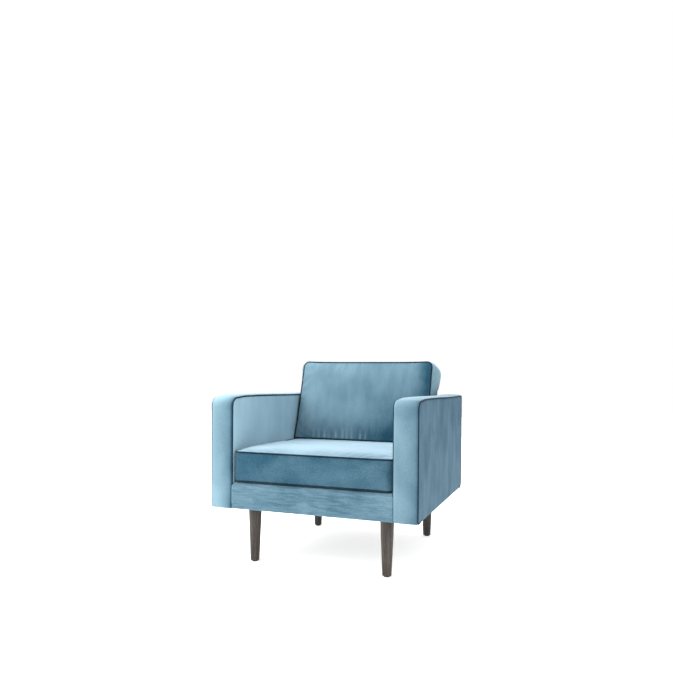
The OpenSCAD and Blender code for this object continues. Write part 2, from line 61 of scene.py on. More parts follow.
# %% [markdown]
# ## Camera, floor and light
# A chair photographed for a shop stands on a white sweep under large soft lights. The
# camera stands to the right of the front, a little lower than the chair's top, so the arm
# tops and the seat are seen almost edge on.
#
# A camera's matrix could be made by aiming at a target, but here its yaw, pitch and roll
# are known, so the three axes are written down directly.

# %% Set the camera
YAW, PITCH, ROLL = (math.radians(v) for v in (20.662, -0.329, 0.422))
CAMERA_PLACE = (0.9049, -2.5404, 0.7138)
LENS, SENSOR, SHIFT_UP = 34.608, 36.0, 0.0646


def camera_axes(yaw, pitch, roll):
    """Right, up and back as the columns of a turn.

    Yaw turns from +Y towards -X, pitch lifts the view, and roll turns right towards up.
    """
    ahead = np.array([-math.sin(yaw) * math.cos(pitch), math.cos(yaw) * math.cos(pitch), math.sin(pitch)])
    right = np.array([math.cos(yaw), math.sin(yaw), 0.0])
    up = np.cross(right, ahead)
    turned = right * math.cos(roll) + up * math.sin(roll)
    return np.stack([turned, np.cross(turned, ahead), -ahead], axis=1)


scene = bpy.context.scene
lens = bpy.data.cameras.new("camera")
lens.lens, lens.sensor_width, lens.shift_y = LENS, SENSOR, SHIFT_UP
camera = bpy.data.objects.new("camera", lens)
scene.collection.objects.link(camera)
pose = np.eye(4)
pose[:3, :3] = camera_axes(YAW, PITCH, ROLL)
pose[:3, 3] = CAMERA_PLACE
camera.matrix_world = Matrix(pose)
scene.camera = camera
scene.view_settings.view_transform = "Standard"
print("camera", [round(v, 3) for v in camera.location])


# %% Helpers for colours and nodes
def linear(hex_colour):
    """An sRGB hex colour as linear red, green, blue and alpha: v / 12.92 where dark, else ((v +
    0.055) / 1.055) to the power 2.4."""
    srgb = np.array([int(hex_colour[i : i + 2], 16) for i in (1, 3, 5)]) / 255
    light = np.where(srgb <= 0.04045, srgb / 12.92, ((srgb + 0.055) / 1.055) ** 2.4)
    return (*light.tolist(), 1.0)


def add_node(tree, kind, inputs=None, **settings):
    """Adds one node with its settings.

    inputs maps a socket's name or number to a value, or to an output that is linked to it.
    """
    node = tree.nodes.new(kind)
    for name, value in settings.items():
        setattr(node, name, value)
    for socket, value in (inputs or {}).items():
        if isinstance(value, bpy.types.NodeSocket):
            tree.links.new(value, node.inputs[socket])
        else:
            node.inputs[socket].default_value = value
    return node


def new_material(name):
    """A material with an empty node tree, and the tree."""
    material = bpy.data.materials.new(name)
    material.use_nodes = True
    material.node_tree.nodes.clear()
    return material, material.node_tree


def finish_material(material, tree, surface):
    """Joins a shader to the material's output."""
    add_node(tree, "ShaderNodeOutputMaterial", {"Surface": surface})
    return material


# %% Lay the floor and hang the lights
FLOOR_HALF = 9.0
CORNERS = ((0, 0), (1, 0), (1, 1), (0, 1))  # a rectangle's corners, anticlockwise, as ends of its sides


def floor_material():
    """White painted sweep.

    It glows a little, as paper lit from behind does, so that shadows on it stay faint.
    """
    material, tree = new_material("white_paper_sweep")
    paper = add_node(
        tree,
        "ShaderNodeBsdfPrincipled",
        {
            "Base Color": linear("#F4F4F4"),
            "Roughness": 0.9,
            "Specular IOR Level": 0.0,
            "Emission Color": linear("#FFFFFF"),
            "Emission Strength": 0.62,
        },
    )
    return finish_material(material, tree, paper.outputs["BSDF"])


floor_mesh = bpy.data.meshes.new("floor")
floor_corners = [((2 * x - 1) * FLOOR_HALF, (2 * y - 1) * FLOOR_HALF, 0) for x, y in CORNERS]
floor_mesh.from_pydata(floor_corners, [], [(0, 1, 2, 3)])
floor_mesh.materials.append(floor_material())
floor = bpy.data.objects.new("floor", floor_mesh)
scene.collection.objects.link(floor)

world = bpy.data.worlds.new("white_room")
scene.world = world
world.use_nodes = True
world.node_tree.nodes["Background"].inputs["Color"].default_value = linear("#FFFFFF")
world.node_tree.nodes["Background"].inputs["Strength"].default_value = 1.0


def soft_light(name, place, target, size, power):
    """A square light of that size in metres and power in watts, facing the target."""
    lamp = bpy.data.lights.new(name, "AREA")
    lamp.size, lamp.energy = size, power
    lamp_object = bpy.data.objects.new(name, lamp)
    scene.collection.objects.link(lamp_object)
    back = np.subtract(place, target) / np.linalg.norm(np.subtract(place, target))
    right = np.cross((0.0, 0.0, 1.0), back)
    right /= np.linalg.norm(right)
    turn = np.eye(4)
    turn[:3, :3] = np.stack([right, np.cross(back, right), back], axis=1)
    turn[:3, 3] = place
    lamp_object.matrix_world = Matrix(turn)
    return lamp_object


soft_light("big_light", (-2.1, -2.4, 2.2), (0.0, 0.0, 0.45), 2.2, 110.0)
soft_light("top_light", (-0.4, 0.3, 3.0), (0.0, 0.0, 0.4), 2.4, 110.0)

# %% [markdown]
# ## Velvet
# Velvet is woven with a short upright pile. Pile that leans towards the eye shows its dark
# cut ends, and pile that leans away shows its lit sides, so one cloth has light and dark
# panels: each panel is cut with its nap one way, and hands brush patches of it over.
#
# The shader needs three things for that. A sheen layer lightens the cloth where it turns away from the eye.
# An attribute named nap_and_shade, from 0 to 1 on each point, says how the pile lies on that panel; on the
# arms, the seat, the back cushion and the piping it also carries painted light and shade, lighter where light
# falls and darker where shade falls. Cloudy patterns in object space then brush it about. The patches and
# strokes are drawn at their real size, and the pile, 0.2 mm across, is drawn 1.6 mm across, or it would not
# show.


# %% Patterns for cloth and wood
def clouds(tree, size, low=0.0, high=1.0, detail=2.0, place=(0.0, 0.0, 0.0), width=0.13):
    """A cloudy pattern in object space, with blobs size mm long along X, Y and Z.

    It comes twice: as it is, and with its middle, from 0.5 - width to 0.5 + width,
    stretched over low to high.
    """
    at = add_node(tree, "ShaderNodeTexCoord").outputs["Object"]
    scale = [1 / (s * MM) for s in size]
    stretch = add_node(tree, "ShaderNodeMapping", {"Vector": at, "Location": place, "Scale": scale})
    noise = {"Vector": stretch.outputs["Vector"], "Scale": 1.0, "Detail": detail}
    plain = add_node(tree, "ShaderNodeTexNoise", noise).outputs["Fac"]
    limits = {"From Min": 0.5 - width, "From Max": 0.5 + width, "To Min": low, "To Max": high}
    return plain, add_node(tree, "ShaderNodeMapRange", {"Value": plain, **limits}).outputs["Result"]


# %% Velvet with its nap one way or another
PILE, PATCH = (1.6, 1.6, 1.6), (110, 110, 110)  # mm
SPECKLE = 0.06
PILE_DEEP, SWIRL_DEEP = 0.25 * MM, 0.5 * MM
DARK_PILE, LIGHT_PILE = "#153F52", "#92B1BE"


def velvet(
    name, sheen, stroke, dark=DARK_PILE, light=LIGHT_PILE, sheen_spread=0.35, mottle=0.04, brush=0.03
):
    """Piece-dyed velvet, from its dark to its light colour as its pile attribute, with the painted light and
    shade it carries, and these patterns say.

    Soft patches as strong as mottle, strokes as strong as brush and sized stroke in mm, a
    fine pile, and a pale sheen where it turns away.
    """
    material, tree = new_material(name)
    nap_and_shade = add_node(tree, "ShaderNodeAttribute", attribute_name="nap_and_shade").outputs["Fac"]
    _, patches = clouds(tree, PATCH, -mottle, mottle, 1.5)
    _, strokes = clouds(tree, stroke, -brush, brush, 2.0, (3.1, 1.7, 5.3))
    pile, speckle = clouds(tree, PILE, -SPECKLE, SPECKLE, 1.0)
    swirl, _ = clouds(tree, stroke, detail=1.0, place=(7.7, 2.2, 0.4))
    brushed = add_node(tree, "ShaderNodeMath", {0: patches, 1: strokes}, operation="ADD").outputs[0]
    lie = add_node(tree, "ShaderNodeMath", {0: nap_and_shade, 1: brushed}, operation="ADD", use_clamp=True).outputs[0]
    tone = add_node(tree, "ShaderNodeMath", {0: speckle, 1: lie}, operation="ADD", use_clamp=True).outputs[0]
    colours = {0: tone, 6: linear(dark), 7: linear(light)}
    waves = add_node(tree, "ShaderNodeBump", {"Height": swirl, "Distance": SWIRL_DEEP, "Strength": 1.0})
    fuzz = {"Height": pile, "Distance": PILE_DEEP, "Strength": 1.0, "Normal": waves.outputs["Normal"]}
    cloth = add_node(
        tree,
        "ShaderNodeBsdfPrincipled",
        {
            "Base Color": add_node(tree, "ShaderNodeMix", colours, data_type="RGBA").outputs[2],
            "Roughness": 0.92,
            "IOR": 1.5,
            "Specular IOR Level": 0.15,
            "Sheen Weight": sheen,
            "Sheen Roughness": sheen_spread,
            "Sheen Tint": linear("#DCEFFA"),
            "Normal": add_node(tree, "ShaderNodeBump", fuzz).outputs["Normal"],
        },
    )
    return finish_material(material, tree, cloth.outputs["BSDF"])


# painted shade and light: the outer panels and the outside back get a bluer dark colour and almost no sheen,
# painted darker as shade, and the inner panels a paler light colour, painted lighter as the light falling on
# them
shaded_panel_velvet = velvet("velvet_painted_shade_outer_panels", 0.03, (45, 45, 170), dark="#0E3D55", mottle=0.035)
lit_inner_velvet = velvet("velvet_painted_light_inner_panels", 0.05, (45, 45, 170), light="#A3C2D0", mottle=0.035)
band_velvet = velvet("velvet_nap_along_the_band", 0.45, (60, 60, 120), mottle=0.05)
cushion_velvet = velvet("velvet_nap_up_the_cushion", 0.25, (40, 60, 150), mottle=0.035)
rail_velvet = velvet("velvet_nap_across_the_rail", 0.25, (55, 40, 7), mottle=0.06, brush=0.055)
top_velvet = velvet("velvet_nap_towards_the_front", 0.85, (120, 160, 60), sheen_spread=0.5, mottle=0.05)
boxing_velvet = velvet("velvet_nap_up_the_boxing", 0.2, (90, 90, 50), mottle=0.03, brush=0.02)
# painted shade: the piping's colours are far darker than the cloth it is cut from, and its pile value is low,
# standing in for the shade in the seams beside it
piping_velvet = velvet("velvet_piping_painted_seam_shade", 0.03, (20, 20, 20), "#07141D", "#37556A", mottle=0.05)
print("velvets", [m.name for m in bpy.data.materials if m.name.startswith("velvet")])

# %% [markdown]
# ## Surfaces from grids
# Every cover here is a grid of points: numpy works all of them out at once, and four
# neighbours make a face. Grids keep the faces even, so cloth can be simulated on them and
# seams are plain rows of points that piping can follow.
#
# A cushion or an arm is a rounded outline with thickness. Its two faces are grids whose
# corner squares are bent into quarter discs, and its boxing is the grid between their
# edges. The three share their edge points, which are the seams.


# %% Grids of points and their faces
def even(low, high, step):
    """Places from low to high, in even steps of at most step."""
    return np.linspace(low, high, max(2, int(math.ceil((high - low) / step)) + 1))


def finer_at_ends(low, high, step, fine, reach):
    """Places from low to high: fine steps within reach of both ends, and coarser ones between."""
    first, middle = even(low, low + reach, fine), even(low + reach, high - reach, step)
    return np.concatenate([first[:-1], middle[:-1], even(high - reach, high, fine)])


def marked(count, *places):
    """True at the numbered places of count points, and False elsewhere."""
    mask = np.zeros(count, bool)
    for place in places:
        mask[place] = True
    return mask


def grid_faces(rows, columns, joined=False):
    """Faces between neighbouring points of a grid numbered row by row.

    joined closes each row into a ring.
    """
    across = columns if joined else columns - 1
    row, column = np.meshgrid(np.arange(rows - 1), np.arange(across), indexing="ij")
    here, beside = row * columns + column, row * columns + (column + 1) % columns
    return np.stack([here, beside, beside + columns, here + columns], -1).reshape(-1, 4)


def bend_corners(a, b, radii):
    """Bends the corner squares of a grid into quarter discs.

    p and q, the distances past an arc's centre in radii, become p times the root of 1 - q²/2,
    and q times the root of 1 - p²/2.
    """
    limits_a, limits_b = (a.min(), a.max()), (b.min(), b.max())
    for (end_a, end_b), radius in zip(CORNERS, radii):
        way_a, way_b = 2 * end_a - 1, 2 * end_b - 1
        centre_a, centre_b = limits_a[end_a] - way_a * radius, limits_b[end_b] - way_b * radius
        p, q = (a - centre_a) * way_a / radius, (b - centre_b) * way_b / radius
        corner = (p > 0) & (q > 0)
        p, q = p * corner, q * corner
        a = np.where(corner, centre_a + way_a * radius * p * np.sqrt(1 - q * q / 2), a)
        b = np.where(corner, centre_b + way_b * radius * q * np.sqrt(1 - p * p / 2), b)
    return a, b


def depth_inside(a, b, limits, radii):
    """How far points lie inside a rounded rectangle: the nearest side's distance, or the arc's
    in a corner square."""
    a0, a1, b0, b1 = limits
    nearest = np.minimum(np.minimum(a - a0, a1 - a), np.minimum(b - b0, b1 - b))
    for (end_a, end_b), radius in zip(CORNERS, radii):
        past_a = (a - (a1 - radius)) if end_a else (a0 + radius - a)
        past_b = (b - (b1 - radius)) if end_b else (b0 + radius - b)
        corner = (past_a > 0) & (past_b > 0)
        nearest = np.where(corner, radius - np.hypot(past_a, past_b), nearest)
    return np.maximum(nearest, 0)


# %% A boxed form: two rounded faces and the band between them
def boxed(a_places, b_places, c_places, radii):
    """Two rounded faces in a and b, at the first and last c, and the rings of points between them.

    face marks the last c's points inside their seam, boxing those of the rings between the
    seams, and held those that stay put in a simulation. far_depth is how far a point of the
    last face lies inside its outline.
    """
    a, b = bend_corners(*np.meshgrid(a_places, b_places, indexing="ij"), radii)
    across, up = a.shape
    number = np.arange(across * up).reshape(across, up)
    ring = np.concatenate([number[:-1, 0], number[-1, :-1], number[:0:-1, -1], number[0, :0:-1]])
    flat = np.stack([a.ravel(), b.ravel()], 1)
    outline = flat[ring]
    along = np.roll(outline, -1, 0) - np.roll(outline, 1, 0)
    outward = np.stack([along[:, 1], -along[:, 0]], 1) / np.linalg.norm(along, axis=1)[:, None]
    between = c_places[1:-1]
    count = across * up
    middle_rings = 2 * count + np.arange(len(between) * len(ring)).reshape(len(between), -1)
    rings = np.vstack([ring, middle_rings, ring + count])
    points = np.vstack(
        [
            np.column_stack([flat, np.full(count, c_places[0])]),
            np.column_stack([flat, np.full(count, c_places[-1])]),
            np.column_stack([np.tile(outline, (len(between), 1)), np.repeat(between, len(ring))]),
        ]
    )
    limits = (a_places[0], a_places[-1], b_places[0], b_places[-1])
    depth = depth_inside(flat[:, 0], flat[:, 1], limits, radii)
    low, high = slice(0, count), slice(count, 2 * count)
    total = len(points)
    return SimpleNamespace(
        points=points,
        low=low,
        high=high,
        rings=rings,
        outward=outward,
        depth=depth,
        far_depth=np.concatenate([np.zeros(count), depth, np.zeros(total - 2 * count)]),
        face=marked(total, high) & ~marked(total, rings[-1]),
        boxing=marked(total, rings[1:-1]),
        held=marked(total, low, rings[-1]),
        limits=limits,
        low_faces=grid_faces(across, up),
        high_faces=grid_faces(across, up)[:, ::-1] + count,
        band_faces=rings.ravel()[grid_faces(len(rings), len(ring), joined=True)],
        c=(c_places[0], c_places[-1]),
    )


def fall_off(distance, reach):
    """1 at no distance, easing to 0 at reach: 1 - 3t² + 2t³."""
    t = np.clip(distance / reach, 0, 1)
    return 1 - t * t * (3 - 2 * t)


WAVES = 8


def ripple(a, b, size, seed):
    """A gentle wandering of about -1 to 1: twice the mean of eight sine waves, about size long,
    with directions and starts drawn from seed."""
    draw = np.random.default_rng(seed)
    turn, start = draw.uniform(0, math.pi, WAVES), draw.uniform(0, 2 * math.pi, WAVES)
    length = draw.uniform(0.7, 1.5, WAVES) * size
    phase = (a[..., None] * np.cos(turn) + b[..., None] * np.sin(turn)) * 2 * math.pi / length + start
    return np.sin(phase).mean(-1) * 2


FACE_FLATNESS, BAND_FLATNESS = 2.6, 2.2  # powers: the higher, the flatter the middle
WANDER_SIZE = 160 * MM


def upholster(form, crown, swell, seam_in, settle=5 * MM, wander=0.0, seed=0):
    """Shapes a boxed form as cloth over foam.

    Each face rises from its seam by seam_in within settle, and by crown towards the middle. The
    band stands out by swell, a number or one for each ring point.
    """
    points = form.points
    a0, a1, b0, b1 = form.limits
    half = min(a1 - a0, b1 - b0) / 2
    for part, way, height in ((form.low, -1, crown[0]), (form.high, 1, crown[1])):
        pulled = -seam_in * np.exp(-form.depth / settle)
        full = 1 - (1 - np.clip(form.depth / half, 0, 1)) ** FACE_FLATNESS
        rough = wander * ripple(points[part, 0], points[part, 1], WANDER_SIZE, seed + 1 + way) * full
        points[part, 2] += way * (pulled + height * full + rough)
    c0, c1 = form.c
    for ring, height in zip(form.rings[1:-1], np.linspace(0, 1, len(form.rings))[1:-1]):
        edge = np.minimum(height, 1 - height) * (c1 - c0)
        share = 1 - abs(2 * height - 1) ** BAND_FLATNESS
        out = swell * share + seam_in * (1 - math.exp(-edge / settle)) - seam_in
        points[ring, :2] += form.outward * np.reshape(out, (-1, 1))
    for ring, c in ((form.rings[0], c0 + seam_in), (form.rings[-1], c1 - seam_in)):
        points[ring, 2] = c
        points[ring, :2] -= form.outward * seam_in
    return form


# %% From points to a piece
def facing_out(points, faces, behind):
    """The faces, turned over if on the whole they look towards the point behind them.

    The sum over faces of normal times place from that point tells.
    """
    first, second, third, fourth = (points[faces[:, i]] for i in range(4))
    normal = np.cross(third - first, fourth - second)
    centre = (first + second + third + fourth) / 4
    return faces if (normal * (centre - behind)).sum() > 0 else faces[:, ::-1]


def new_piece(name, points, faces, body, slot, material, behind=None, nap_and_shade=0.5, thick=0.0, stands_for=()):
    """A smooth mesh object that rides on a body.

    behind is a point inside it, nap_and_shade the lie of its pile together with any painted light and shade,
    thick the cloth's thickness in metres where the piece is one layer, and stands_for the solid parts it
    takes the place of.
    """
    used, faces = np.unique(faces, return_inverse=True)
    faces = faces.reshape(-1, 4)
    nap_and_shade = np.broadcast_to(nap_and_shade, len(points))[used]
    points = points[used]
    faces = facing_out(points, faces, points.mean(0) if behind is None else np.asarray(behind))
    mesh = bpy.data.meshes.new(name)
    mesh.from_pydata(points.tolist(), [], faces.tolist())
    mesh.attributes.new("nap_and_shade", "FLOAT", "POINT").data.foreach_set("value", nap_and_shade.astype(np.float32))
    mesh.shade_smooth()
    mesh.materials.append(material)
    piece = bpy.data.objects.new(name, mesh)
    scene.collection.objects.link(piece)
    if thick:
        layer = piece.modifiers.new("thickness", "SOLIDIFY")
        layer.thickness, layer.offset = thick, -1.0
    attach(piece, body)
    if stands_for:
        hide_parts(*stands_for)
    return piece


def span(node):
    """The lowest and highest corner of a solid part, as two arrays in metres."""
    return tuple(np.array(corner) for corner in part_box(node))


def put(form_points, origin, a_axis, b_axis, c_axis):
    """Places points in a, b and c into the room: the origin plus each coordinate times its axis."""
    return np.asarray(origin) + form_points @ np.array([a_axis, b_axis, c_axis], float)


# %% [markdown]
# ## Piping
# Piping is a cord folded into a bias-cut strip and sewn into a seam. It stands a little
# proud of the two panels it joins, and catches a thin line of light with a dark one
# beside it.
#
# A bevelled curve would do, but a mesh tube is swept here: the outline is a run of points,
# and a small circle is set on each of them, square to the way it runs.


# %% Outlines and tubes
CORD_SIDES = 10


QUARTER = math.pi / 2  # an arc's length in radii


def outline_points(limits, radii, step):
    """A rounded rectangle as points about step apart: four arcs and the straight sides between
    them, anticlockwise from the first corner's arc."""
    a0, a1, b0, b1 = limits
    runs = []
    corners = ((a0, b0, 180, 1, 1), (a1, b0, 270, -1, 1), (a1, b1, 0, -1, -1), (a0, b1, 90, 1, -1))
    for (a, b, start, in_a, in_b), radius in zip(corners, radii):
        arc_step = 90 * step / max(radius * QUARTER, step) if radius > step else 22.5
        turn = np.radians(start + even(0, 90, arc_step))
        centre = np.array([a + in_a * radius, b + in_b * radius])
        runs.append(centre + radius * np.stack([np.cos(turn), np.sin(turn)], 1))
    path = []
    for run, following in zip(runs, runs[1:] + runs[:1]):
        steps = even(0, 1, step / max(np.linalg.norm(following[0] - run[-1]), step))[1:-1, None]
        path += [run, run[-1] + (following[0] - run[-1]) * steps]
    return np.vstack(path)


def cord(path, radius, closed=True, uneven=0.05, seed=1):
    """Points and faces of a tube along a flat path in a and b, with c in the third column.

    A ring's points are the path plus radius times (cos t, sin t) in the directions across the
    path and along c.
    """
    count = len(path)
    along = np.roll(path, -1, 0) - np.roll(path, 1, 0)
    if not closed:
        along[0], along[-1] = path[1] - path[0], path[-1] - path[-2]
    across = np.stack([along[:, 1], -along[:, 0], np.zeros(count)], 1)
    across /= np.linalg.norm(across, axis=1)[:, None]
    turn = np.arange(CORD_SIDES) * 2 * math.pi / CORD_SIDES
    thickness = radius * (1 + uneven * np.random.default_rng(seed).uniform(-1, 1, count))
    if not closed:
        thickness[[0, -1]] = 0.02 * radius
    ring = np.cos(turn)[None, :, None] * across[:, None] + np.sin(turn)[None, :, None] * np.array([0, 0, 1.0])
    points = (path[:, None] + thickness[:, None, None] * ring).reshape(-1, 3)
    rows = np.arange(count * CORD_SIDES).reshape(count, CORD_SIDES)
    if closed:
        rows = np.vstack([rows, rows[:1]])
    return points, rows.ravel()[grid_faces(len(rows), CORD_SIDES, joined=True)]


def as_one(first, second):
    """Two runs of points and faces as one: the second's faces are numbered on from the first's
    points."""
    points = np.vstack([first[0], second[0]])
    return points, np.vstack([first[1], second[1] + len(first[0])])


# %% [markdown]
# ## Arms
# An arm is a slab of foam over hardboard. An inner and an outer panel cover its faces, and
# a band runs round its edge, over the rounded front corner. The foam fills the cloth, so
# the panels are very slightly crowned and the band bulges between its two seams.
#
# Each arm is one boxed form, cut into its three pieces along the seams. Solidify gives the
# cloth its thickness inwards.

# %% Upholster both arms
CLOTH = 1.4 * MM
SEAM_IN = 3.2 * MM
ARM_RADII = np.array([12, 30, 10, 32]) * MM  # front bottom, rear bottom, rear top, front top
PIPING_R = 3.0 * MM
PIPING_IN = 2.1 * MM
PIPING_STEP = 7 * MM
FOLD_UNDER = 60 * MM
TUCK = 6 * MM  # the ends of the arms' piping are tucked up into the cloth
TOP_FULL = 6 * MM
INNER_CROWN, OUTER_CROWN = 0.9 * MM, 2.6 * MM


def fuller_top(points, y0, z0, z1):
    """The foam of an arm's top is fullest a hand's length behind its front: the height grows by
    TOP_FULL there, rising over 110 mm from the front, falling over 520 mm to the rear, and less
    further down."""
    back = points[:, 1] - y0
    rise = (1 - fall_off(back, 0.11)) * fall_off(back - 0.16, 0.52)
    down = np.clip((points[:, 2] - z0) / (z1 - z0), 0, 1) ** 3
    raised = points.copy()
    raised[:, 2] += TOP_FULL * rise * down
    return raised


# painted light and shade, carried as the lie of the pile: on the panels at the front and what the rear adds,
# and on the band at its left seam, what is lost by its right one, the power of that fall, and what facing up
# adds
INNER_PAINTED_LIGHT, OUTER_PAINTED_SHADE = (0.92, -0.16), (0.22, -0.05)
BAND_PAINTED_LIGHT = {-1: (0.60, 0.76, 2.2, 0.25), 1: (0.42, 0.36, 2.0, 0.12)}


def arm_painted_light_and_pile(form, side):
    """Painted light and shade on an arm, carried as the lie of its pile: its inner face is painted lighter
    than its outer one, and the band is painted lightest on the left and at the top, where light falls, and
    darker towards its right seam, where it turns into shade; the left arm's band is lighter than the right
    arm's."""
    nap_and_shade = np.full(len(form.points), 0.5)
    inner, outer = (form.low, form.high) if side > 0 else (form.high, form.low)
    b = (form.points[:, 1] - form.limits[2]) / (form.limits[3] - form.limits[2])
    for part, (front, change) in ((inner, INNER_PAINTED_LIGHT), (outer, OUTER_PAINTED_SHADE)):
        nap_and_shade[part] = front + change * b[part]
    start, lost, power, gain = BAND_PAINTED_LIGHT[side]
    left_to_right = np.linspace(0, 1, len(form.rings))[:, None]
    nap_and_shade[form.rings] = start - lost * left_to_right**power + np.clip(form.outward[:, 1], 0, 1) * gain
    return nap_and_shade


def make_arm(side, name):
    """One arm's panels, band and two lines of piping. side is 1 on the right and -1 on the left."""
    panels = [span(f"{name}_{face}_panel") for face in ("inner", "outer")]
    x0, x1 = min(low[0] for low, _ in panels), max(high[0] for _, high in panels)
    (_, y0, z0), (_, y1, z1) = span(f"{name}_band")
    form = boxed(
        finer_at_ends(y0, y1, 8 * MM, 2 * MM, 14 * MM),
        finer_at_ends(z0, z1, 8 * MM, 2 * MM, 14 * MM),
        finer_at_ends(x0, x1, 5 * MM, 1.6 * MM, 10 * MM),
        ARM_RADII,
    )
    # the band swells most at the front and top and least underneath
    swell = (3.4 - 1.4 * form.outward[:, 0] + 1.6 * form.outward[:, 1]) * MM
    crown = (INNER_CROWN, OUTER_CROWN)[::side]
    upholster(form, crown, swell, SEAM_IN, wander=0.5 * MM, seed=7 + side)
    points = fuller_top(form.points[:, [2, 0, 1]], y0, z0, z1)
    nap_and_shade = arm_painted_light_and_pile(form, side)
    middle = points.mean(0)
    # the first c is the left face: the right arm's inner one, and the left arm's outer one
    panels = [("inner_panel", lit_inner_velvet), ("outer_panel", shaded_panel_velvet)][::side]
    parts = (
        (*panels[0], form.low_faces),
        (*panels[1], form.high_faces),
        ("band", band_velvet, form.band_faces),
    )
    for word, cloth, faces in parts:
        node = f"{name}_{word}"
        pad = new_piece(f"{node}_velvet", points, faces, "chair", "velvet", cloth, middle, nap_and_shade, CLOTH, [node])
    inset = np.array([1, -1, 1, -1]) * PIPING_IN
    edge = outline_points(np.array([y0, y1, z0, z1]) + inset, ARM_RADII - PIPING_IN, PIPING_STEP)
    # the cords end where the cloth folds under the arm
    between = (edge[:, 0] > y0 + FOLD_UNDER) & (edge[:, 0] < y1 - FOLD_UNDER)
    under = (edge[:, 1] < z0 + 2 * PIPING_IN) & between
    start = int(np.flatnonzero(under)[-1]) + 1
    edge = np.roll(edge, -start, 0)[: len(edge) - int(under.sum())]
    number = np.arange(len(edge))
    edge[:, 1] += TUCK * fall_off(np.minimum(number, number[::-1]) * PIPING_STEP, 3 * PIPING_STEP)
    seams = (np.column_stack([edge, np.full(len(edge), x)]) for x in (x0 + PIPING_IN, x1 - PIPING_IN))
    both, faces = as_one(*(cord(seam, PIPING_R, False) for seam in seams))
    both = fuller_top(both[:, [2, 0, 1]], y0, z0, z1)
    look = ("chair", "piping_velvet", piping_velvet)
    new_piece(f"{name}_piping_velvet", both, faces, *look, middle, 0.15, stands_for=[f"{name}_piping"])
    print(name, "points", len(points))


make_arm(-1, "left_arm")
make_arm(1, "right_arm")

# %% [markdown]
# ## Front rail
# Between the arms a padded rail closes the seat box. Its cloth comes over from the top,
# round a soft edge, down the front and under. It is one strip, so it is one profile
# carried from arm to arm, with a slow waver so that it doesn't look machined.

# %% Cover the front rail
RAIL_TOP_R, RAIL_FOOT_R = 14 * MM, 8 * MM
RAIL_BULGE, RAIL_WAVER = 2.2 * MM, 0.5 * MM
RAIL_PAST = 2.4 * MM  # how far its ends reach in under the arms' cloth


def rail_profile(y0, y1, z0, z1, step):
    """The rail cover's side view: back to front over the top, round, down, round, and back
    underneath."""
    turn_top = np.radians(even(90, 180, 10))
    turn_foot = np.radians(even(180, 270, 15))
    top_centre, foot_centre = [y0 + RAIL_TOP_R, z1 - RAIL_TOP_R], [y0 + RAIL_FOOT_R, z0 + RAIL_FOOT_R]
    top = np.stack([np.cos(turn_top), np.sin(turn_top)], 1) * RAIL_TOP_R + top_centre
    foot = np.stack([np.cos(turn_foot), np.sin(turn_foot)], 1) * RAIL_FOOT_R + foot_centre
    level = even(y0 + RAIL_TOP_R, y1, step)[:0:-1]
    fall = even(z0 + RAIL_FOOT_R, z1 - RAIL_TOP_R, step)[-2:0:-1]
    return np.vstack(
        [
            np.column_stack([level, np.full(len(level), z1)]),
            top,
            np.column_stack([np.full(len(fall), y0), fall]),
            foot,
            np.column_stack([level[::-1], np.full(len(level), z0)]),
        ]
    )


rail_low, rail_high = span("front_rail_cover")
profile = rail_profile(rail_low[1], rail_high[1], rail_low[2], rail_high[2], 5 * MM)
rail_x = even(rail_low[0] - RAIL_PAST, rail_high[0] + RAIL_PAST, 6 * MM)
rail_grid = np.stack(
    [
        np.repeat(rail_x[:, None], len(profile), 1),
        np.repeat(profile[None, :, 0], len(rail_x), 0),
        np.repeat(profile[None, :, 1], len(rail_x), 0),
    ],
    -1,
)
on_front = np.clip(1 - (rail_grid[..., 1] - rail_low[1]) / (8 * MM), 0, 1)
up_rail = np.clip((rail_grid[..., 2] - rail_low[2]) / (rail_high[2] - rail_low[2]), 0, 1)
waver = RAIL_WAVER * ripple(rail_grid[..., 0], 4 * rail_grid[..., 2], 0.2, 5)
rail_grid[..., 1] -= on_front * (RAIL_BULGE * np.sin(math.pi * up_rail) + waver)
rail_piece = new_piece(
    "front_rail_velvet",
    rail_grid.reshape(-1, 3),
    grid_faces(*rail_grid.shape[:2]),
    "chair",
    "velvet",
    rail_velvet,
    behind=(0, rail_high[1], (rail_low[2] + rail_high[2]) / 2),
    nap_and_shade=0.26,
    thick=CLOTH,
    stands_for=["front_rail_cover"],
)
print("rail cover", len(rail_piece.data.vertices), "points")

# %% [markdown]
# ## Back
# The fixed back leans. Its front face is a padded panel that the back cushion hides, a
# narrow band closes its top, and a flat panel covers its rear between the arms, with a
# line of piping above and below the band.
#
# Each is a plain grid. Where a panel slopes, the grid is laid in its own two directions.


# %% Cover the back
def panel_grid(corner, first, second, out, step, crown, fold, seed=3):
    """A crowned panel: a corner plus shares of two edges, raised along out by crown times 1 -
    (2u - 1)^4 times 1 - (2v - 1)^4, with a slight ripple. fold is how far its sides, its foot
    and its top turn in."""
    first, second, out = (np.asarray(v, float) for v in (first, second, out))
    wide, tall = np.linalg.norm(first), np.linalg.norm(second)
    u, v = even(0, 1, step / wide), even(0, 1, step / tall)
    u, v = np.meshgrid(np.pad(u, 1, "edge"), np.pad(v, 1, "edge"), indexing="ij")
    full = (1 - (2 * u - 1) ** 4) * (1 - (2 * v - 1) ** 4)
    rise = full * crown * (1 + 0.3 * ripple(u * wide, v * tall, 0.17, seed))
    rise[[0, -1]] -= fold[0]
    rise[:, 0] -= fold[1]
    rise[:, -1] -= fold[2]
    grid = np.asarray(corner, float) + u[..., None] * first + v[..., None] * second + rise[..., None] * out
    return grid.reshape(-1, 3), grid_faces(*u.shape)


